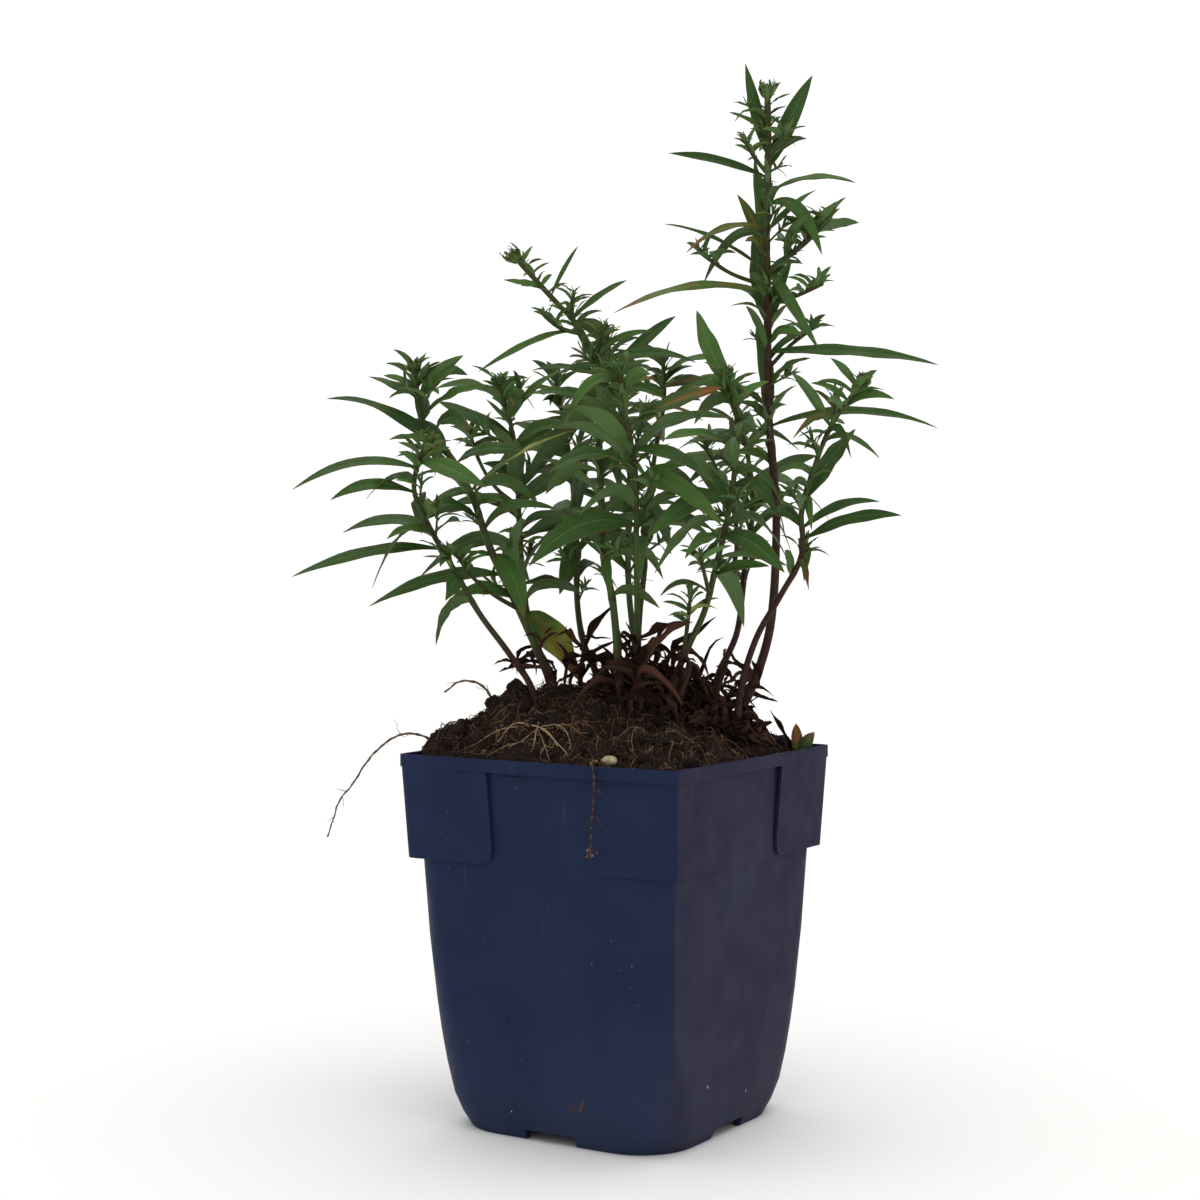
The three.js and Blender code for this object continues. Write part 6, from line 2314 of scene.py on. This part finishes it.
@dataclass(frozen=True)
class PotPlastic:
    """Dark blue moulded plastic, dusty and lightly scuffed, with a painted warm light tint on the sides
    right of its near corner.
    """

    blue: str = "222c48"
    deep: str = "1e2843"
    # A purple-brown laid over the sides right of the near corner as painted warm light.
    dust_film_and_side_light: str = "30202b"
    dust: str = "6a6f82"
    speck: str = "8a8784"
    soil: str = "2b1f18"

    def material(self) -> Material:
        """Builds the material.

        Returns:
            The material.
        """
        g = Graph("pot_plastic", self.deep)
        g.coat(g.step(g.noise(28, 5, warp=0.4), 0.3, 0.7), self.blue)
        x, y, height = g.node("SeparateXYZ", {0: g.place()}).outputs
        # Painted light: the sides right of the near corner (x + y > 0) take a warm purplish tint in place of
        # warmer light on that side.
        painted_side_light = g.step(g.plus(x, y), -0.002, 0.006)
        g.coat(g.times(painted_side_light, g.grain(20, 5, 0.1, 0.8, (0.3, 0.4))), self.dust_film_and_side_light)
        # A patchy film of dust, and dust round the foot.
        dust_film_and_side_light = g.step(g.noise(14, 6, rough=0.65), 0.42, 0.78)
        foot = g.step(height, 0.05, 0.0)
        g.coat(g.plus(g.times(dust_film_and_side_light, 0.05), g.times(foot, 0.05), True), self.dust)
        stretched = g.node("Mapping", {0: g.place(), "Scale": (1, 1, 0.16)}).outputs[0]
        g.coat(g.step(g.noise(180, 3, stretched), 0.66, 0.78), self.dust, 0.08)
        g.coat(g.grain(620, 2, 0.75, 0.78), self.speck, 0.3)
        near_rim = g.sum("MULTIPLY_ADD", g.step(height, 0.085, 0.125), 0.45, 0.1)
        g.coat(g.times(g.grain(260, 4, 0.66, 0.72), near_rim), self.soil)
        return g.done(g.grain(90, 5, 0.3, 0.75, (0.42, 0.6)), 0.05, g.bump(g.noise(1500, 3), 0.18, 0.0002))


@dataclass(frozen=True)
class MarkFinish:
    """What has dried on the plastic, from black dirt to chalk; its black also paints the shadow lines at the
    panel's edges and under the rim's ledge.
    """

    # Black for dirt, and for the painted shadow lines.
    dirt: str = "080a14"
    earth: str = "5a4034"
    chalk: str = "cfd0d4"

    def material(self) -> Material:
        """Builds the material.

        Returns:
            The material.
        """
        g = Graph("pot_mark", self.dirt)
        shade = g.plus(g.tint()[0], g.grain(2000, 3, 0.3, 0.7, (-0.06, 0.06)))
        g.coat(g.step(shade, 0.0, 0.35), self.earth)
        g.coat(g.step(shade, 0.4, 0.9), self.chalk)
        return g.done(0.9, 0.1)


@dataclass(frozen=True)
class PeatFinish:
    """Dry brown peat: dark between its clods and paler where it is rubbed."""

    dark: str = "130d0a"
    brown: str = "35261f"
    pale: str = "6c5244"

    def material(self) -> Material:
        """Builds the material.

        Returns:
            The material.
        """
        g = Graph("peat", self.dark)
        g.coat(g.step(g.noise(420, 6, rough=0.7), 0.34, 0.66), self.brown)
        g.coat(g.grain(1300, 5, 0.58, 0.75), self.pale)
        return g.done(0.95, 0.2, g.bump(g.noise(900, 8, rough=0.75), 0.9, 0.0012))


@dataclass(frozen=True)
class CrumbFinish:
    """Loose crumbs, from near black to brown, a few of them tan."""

    dark: str = "150e0b"
    brown: str = "3e2c23"
    tan: str = "7d604d"

    def material(self) -> Material:
        """Builds the material.

        Returns:
            The material.
        """
        g = Graph("peat_crumb", self.dark)
        brownness, paleness = g.tint()[:2]
        g.coat(brownness, self.brown)
        g.coat(g.step(paleness, 0.9, 0.98), self.tan)
        g.coat(g.grain(1500, 4, 0.4, 0.7), self.dark)
        return g.done(0.95, 0.2, g.bump(g.noise(2600, 5), 0.7, 0.0005))


@dataclass(frozen=True)
class FibreFinish:
    """Fine fibres and dead rootlets, dark brown to straw."""

    dark: str = "1f140e"
    brown: str = "4e372a"
    straw: str = "87684f"

    def material(self) -> Material:
        """Builds the material.

        Returns:
            The material.
        """
        g = Graph("peat_fibre", self.dark)
        brownness, paleness = g.tint()[:2]
        g.coat(brownness, self.brown)
        g.coat(g.step(paleness, 0.6, 0.95), self.straw)
        g.coat(g.grain(900, 3, 0.5, 0.7, (0, 0.5)), self.dark)
        return g.done(0.85, 0.25)


@dataclass(frozen=True)
class StemBark:
    """A stem: green near its tip, purple-brown below, brown at its leaf scars."""

    green: str = "3d5226"
    purple: str = "381f1e"
    fleck: str = "6f6142"
    scar: str = "3c2719"

    def material(self) -> Material:
        """Builds the material.

        Returns:
            The material.
        """
        g = Graph("aster_stem", self.green)
        age, swell, _, _ = g.tint()
        around, along = g.chart()
        strip = g.node("CombineXYZ", {0: g.times(around, 9.0), 1: g.times(along, 1.6)}).outputs[0]
        streak = g.noise(1.0, 4, strip, warp=0.5)
        turned = g.plus(age, g.times(g.sum("SUBTRACT", streak, 0.5), 1.1), True)
        g.coat(g.step(turned, 0.15, 0.85), self.purple)
        g.coat(g.grain(500, 4, 0.5, 0.75), self.fleck, 0.25)
        g.coat(g.step(swell, 0.35, 0.95), self.scar, 0.5)
        return g.done(0.55, 0.16, g.bump(streak, 0.5, 0.0004))


@dataclass(frozen=True)
class LeafBlade:
    """A leaf: its greens, paler midrib and veins, thin brown margin and dry tip."""

    name: str
    kind: Kind
    yellow: str = "aeb04c"
    under: str = "8ea27c"
    dry: str = "6d4a28"
    rust: str = "94602c"
    fox: str = "744630"

    TONES = {
        Kind.LEAF: ("213c1a", "476a2c", "718a55"),
        Kind.YOUNG: ("26491b", "4b7432", "7a9659"),
        Kind.DEAD: ("1c1310", "412c24", "705744"),
    }

    def material(self) -> Material:
        """Builds the material.

        Returns:
            The material.
        """
        dark, light, vein = self.TONES[self.kind]
        dead = self.kind is Kind.DEAD
        g = Graph(self.name, dark)
        u, t = g.chart()
        shade, warmth, brown, upper = g.tint()
        across = g.times(g.sum("ABSOLUTE", g.sum("SUBTRACT", u, 0.5)), 2.0)
        g.coat(g.plus(g.times(shade, 0.75), g.times(g.noise(190, 4), 0.45), True), light)
        if dead:
            g.coat(g.step(shade, 0.86, 0.98, (0, 0.2)), self.fox)
        else:
            g.coat(g.step(g.plus(warmth, g.times(g.noise(120, 3), 0.3)), 0.98, 1.25), self.yellow, 0.65)
        slant = g.sum("SUBTRACT", g.times(t, 11.0), g.times(across, 2.1))
        ribs = g.step(g.sum("SINE", g.times(slant, CYCLE)), 0.72, 1.0)
        ribs = g.times(ribs, g.step(across, 1.0, 0.6))
        midrib = g.step(across, 0.1, 0.03)
        g.coat(ribs, vein, 0.06)
        g.coat(midrib, vein, 0.3)
        if not dead:
            g.coat(g.step(upper, 0.6, 0.4), g.blend(0.5, tone(light), tone(self.under)), 0.28)
            margin = g.times(g.step(g.plus(across, g.times(g.noise(700, 3), 0.2)), 0.98, 1.1), 0.55)
            tip = g.plus(t, g.times(g.noise(240, 3), 0.25))
            dry = g.times(g.step(g.plus(tip, g.times(brown, 0.3)), 1.12, 1.3), 0.9)
            g.coat(g.sum("MAXIMUM", margin, dry), self.dry)
            rust = g.times(g.step(g.plus(brown, g.noise(90, 3)), 1.05, 1.4), g.step(across, 0.7, 0.0))
            g.coat(rust, self.rust, 0.5)
        relief = g.sum("SUBTRACT", g.noise(1100, 4), g.plus(g.times(ribs, 0.5), midrib))
        roughness = 0.9 if dead else g.grain(300, 3, 0.3, 0.7, (0.38, 0.56))
        return g.done(roughness, 0.08 if dead else 0.16, g.bump(relief, 0.45, 0.0004))


@dataclass(frozen=True)
class RootSkin:
    """Bare root: tan to pale brown, scurfy."""

    brown: str = "35241a"
    pale: str = "a38b6b"

    def material(self) -> Material:
        """Builds the material.

        Returns:
            The material.
        """
        g = Graph("root_skin", self.brown)
        g.coat(g.plus(g.times(g.tint()[0], 0.6), g.grain(700, 4, 0.3, 0.7, (0, 0.5)), True), self.pale)
        return g.done(0.85, 0.25, g.bump(g.noise(2200, 5), 0.7, 0.0003))


@dataclass(frozen=True)
class StoneSkin:
    """Cream and grey stone, rough and a little dirty."""

    cream: str = "cfc3a4"
    grey: str = "988c70"
    dirt: str = "4a3b2c"

    def material(self) -> Material:
        """Builds the material.

        Returns:
            The material.
        """
        g = Graph("stone_skin", self.grey)
        g.coat(g.grain(500, 5, 0.35, 0.65), self.cream)
        g.coat(g.grain(1400, 4, 0.6, 0.75), self.dirt)
        return g.done(0.8, 0.3, g.bump(g.noise(2000, 6), 0.6, 0.0003))


@dataclass(frozen=True)
class FloorPaint:
    """A plain pale floor."""

    pale: str = "fafaf9"
    paler: str = "fbfbfb"

    def material(self) -> Material:
        """Builds the material.

        Returns:
            The material.
        """
        g = Graph("floor_paint", self.pale)
        g.coat(g.grain(3, 3, 0.3, 0.7), self.paler)
        return g.done(0.7, 0.2)


@dataclass
class Studio:
    """The camera at the photo's angle, soft lights and a pale floor."""

    ambient: float = 0.68
    paper: float = 1.1
    floor_size: float = 30.0
    sun_way: tuple[float, float, float] = (0.08, 0.0, 1.0)
    sun_spread: float = 70
    sun_power: float = 1.42
    sun_colour: tuple[float, float, float] = (1.0, 0.96, 0.93)
    sensor: float = 36

    def camera(self) -> None:
        """Stands the camera where the plant was seen from."""
        data = bpy.data.cameras.new("camera")
        data.lens, data.sensor_width = EYE.lens, self.sensor
        camera = placed("camera", data)
        camera.location = EYE.turned(EYE.across, -EYE.back, EYE.up) * MM
        ahead = Vector(EYE.turned(0, 1, -math.tan(EYE.down)))
        camera.rotation_euler = ahead.to_track_quat("-Z", "Y").to_euler()
        bpy.context.scene.camera = camera

    def lights(self) -> None:
        """A soft light from all round, a broad one from above, and a white background behind the part."""
        world = bpy.data.worlds.new("studio")
        world.use_nodes = True
        tree = world.node_tree
        soft, paper = tree.nodes["Background"], tree.nodes.new("ShaderNodeBackground")
        for light, strength in ((soft, self.ambient), (paper, self.paper)):
            light.inputs["Color"].default_value = (1, 1, 1, 1)
            light.inputs["Strength"].default_value = strength
        choice = tree.nodes.new("ShaderNodeMixShader")
        seen = tree.nodes.new("ShaderNodeLightPath").outputs["Is Camera Ray"]
        for source, target in ((seen, choice.inputs[0]), (soft.outputs[0], choice.inputs[1]),
                               (paper.outputs[0], choice.inputs[2]),
                               (choice.outputs[0], tree.nodes["World Output"].inputs["Surface"])):
            tree.links.new(source, target)
        bpy.context.scene.world = world
        bpy.context.scene.view_settings.view_transform = "Standard"
        data = bpy.data.lights.new("sun", "SUN")
        data.energy, data.angle, data.color = self.sun_power, math.radians(self.sun_spread), self.sun_colour
        sun = placed("sun", data)
        sun.location = Vector(EYE.turned(*self.sun_way))
        sun.rotation_euler = sun.location.to_track_quat("Z", "Y").to_euler()

    def floor(self) -> None:
        """Lays the floor."""
        bm = bmesh.new()
        bmesh.ops.create_grid(bm, x_segments=4, y_segments=4, size=self.floor_size)
        mesh = mesh_of(bm, "floor")
        mesh.materials.append(FloorPaint().material())
        placed("floor", mesh)

    def build(self) -> None:
        """Sets the studio up."""
        self.camera()
        self.lights()
        self.floor()


def main() -> None:
    """Builds every sub-assembly in order."""
    logging.basicConfig(level=logging.INFO, format="%(message)s")
    Studio().build()
    pot = Pot()
    soil = Soil(pot)
    roots = Roots(soil)
    for maker in (pot, Marks(pot), soil, Plant(soil), Litter(soil, roots), roots, Pebble(roots)):
        for piece in maker.build():
            log.info("%s: %d faces", piece.name, len(piece.data.polygons))


if __name__ == "__main__":
    main()
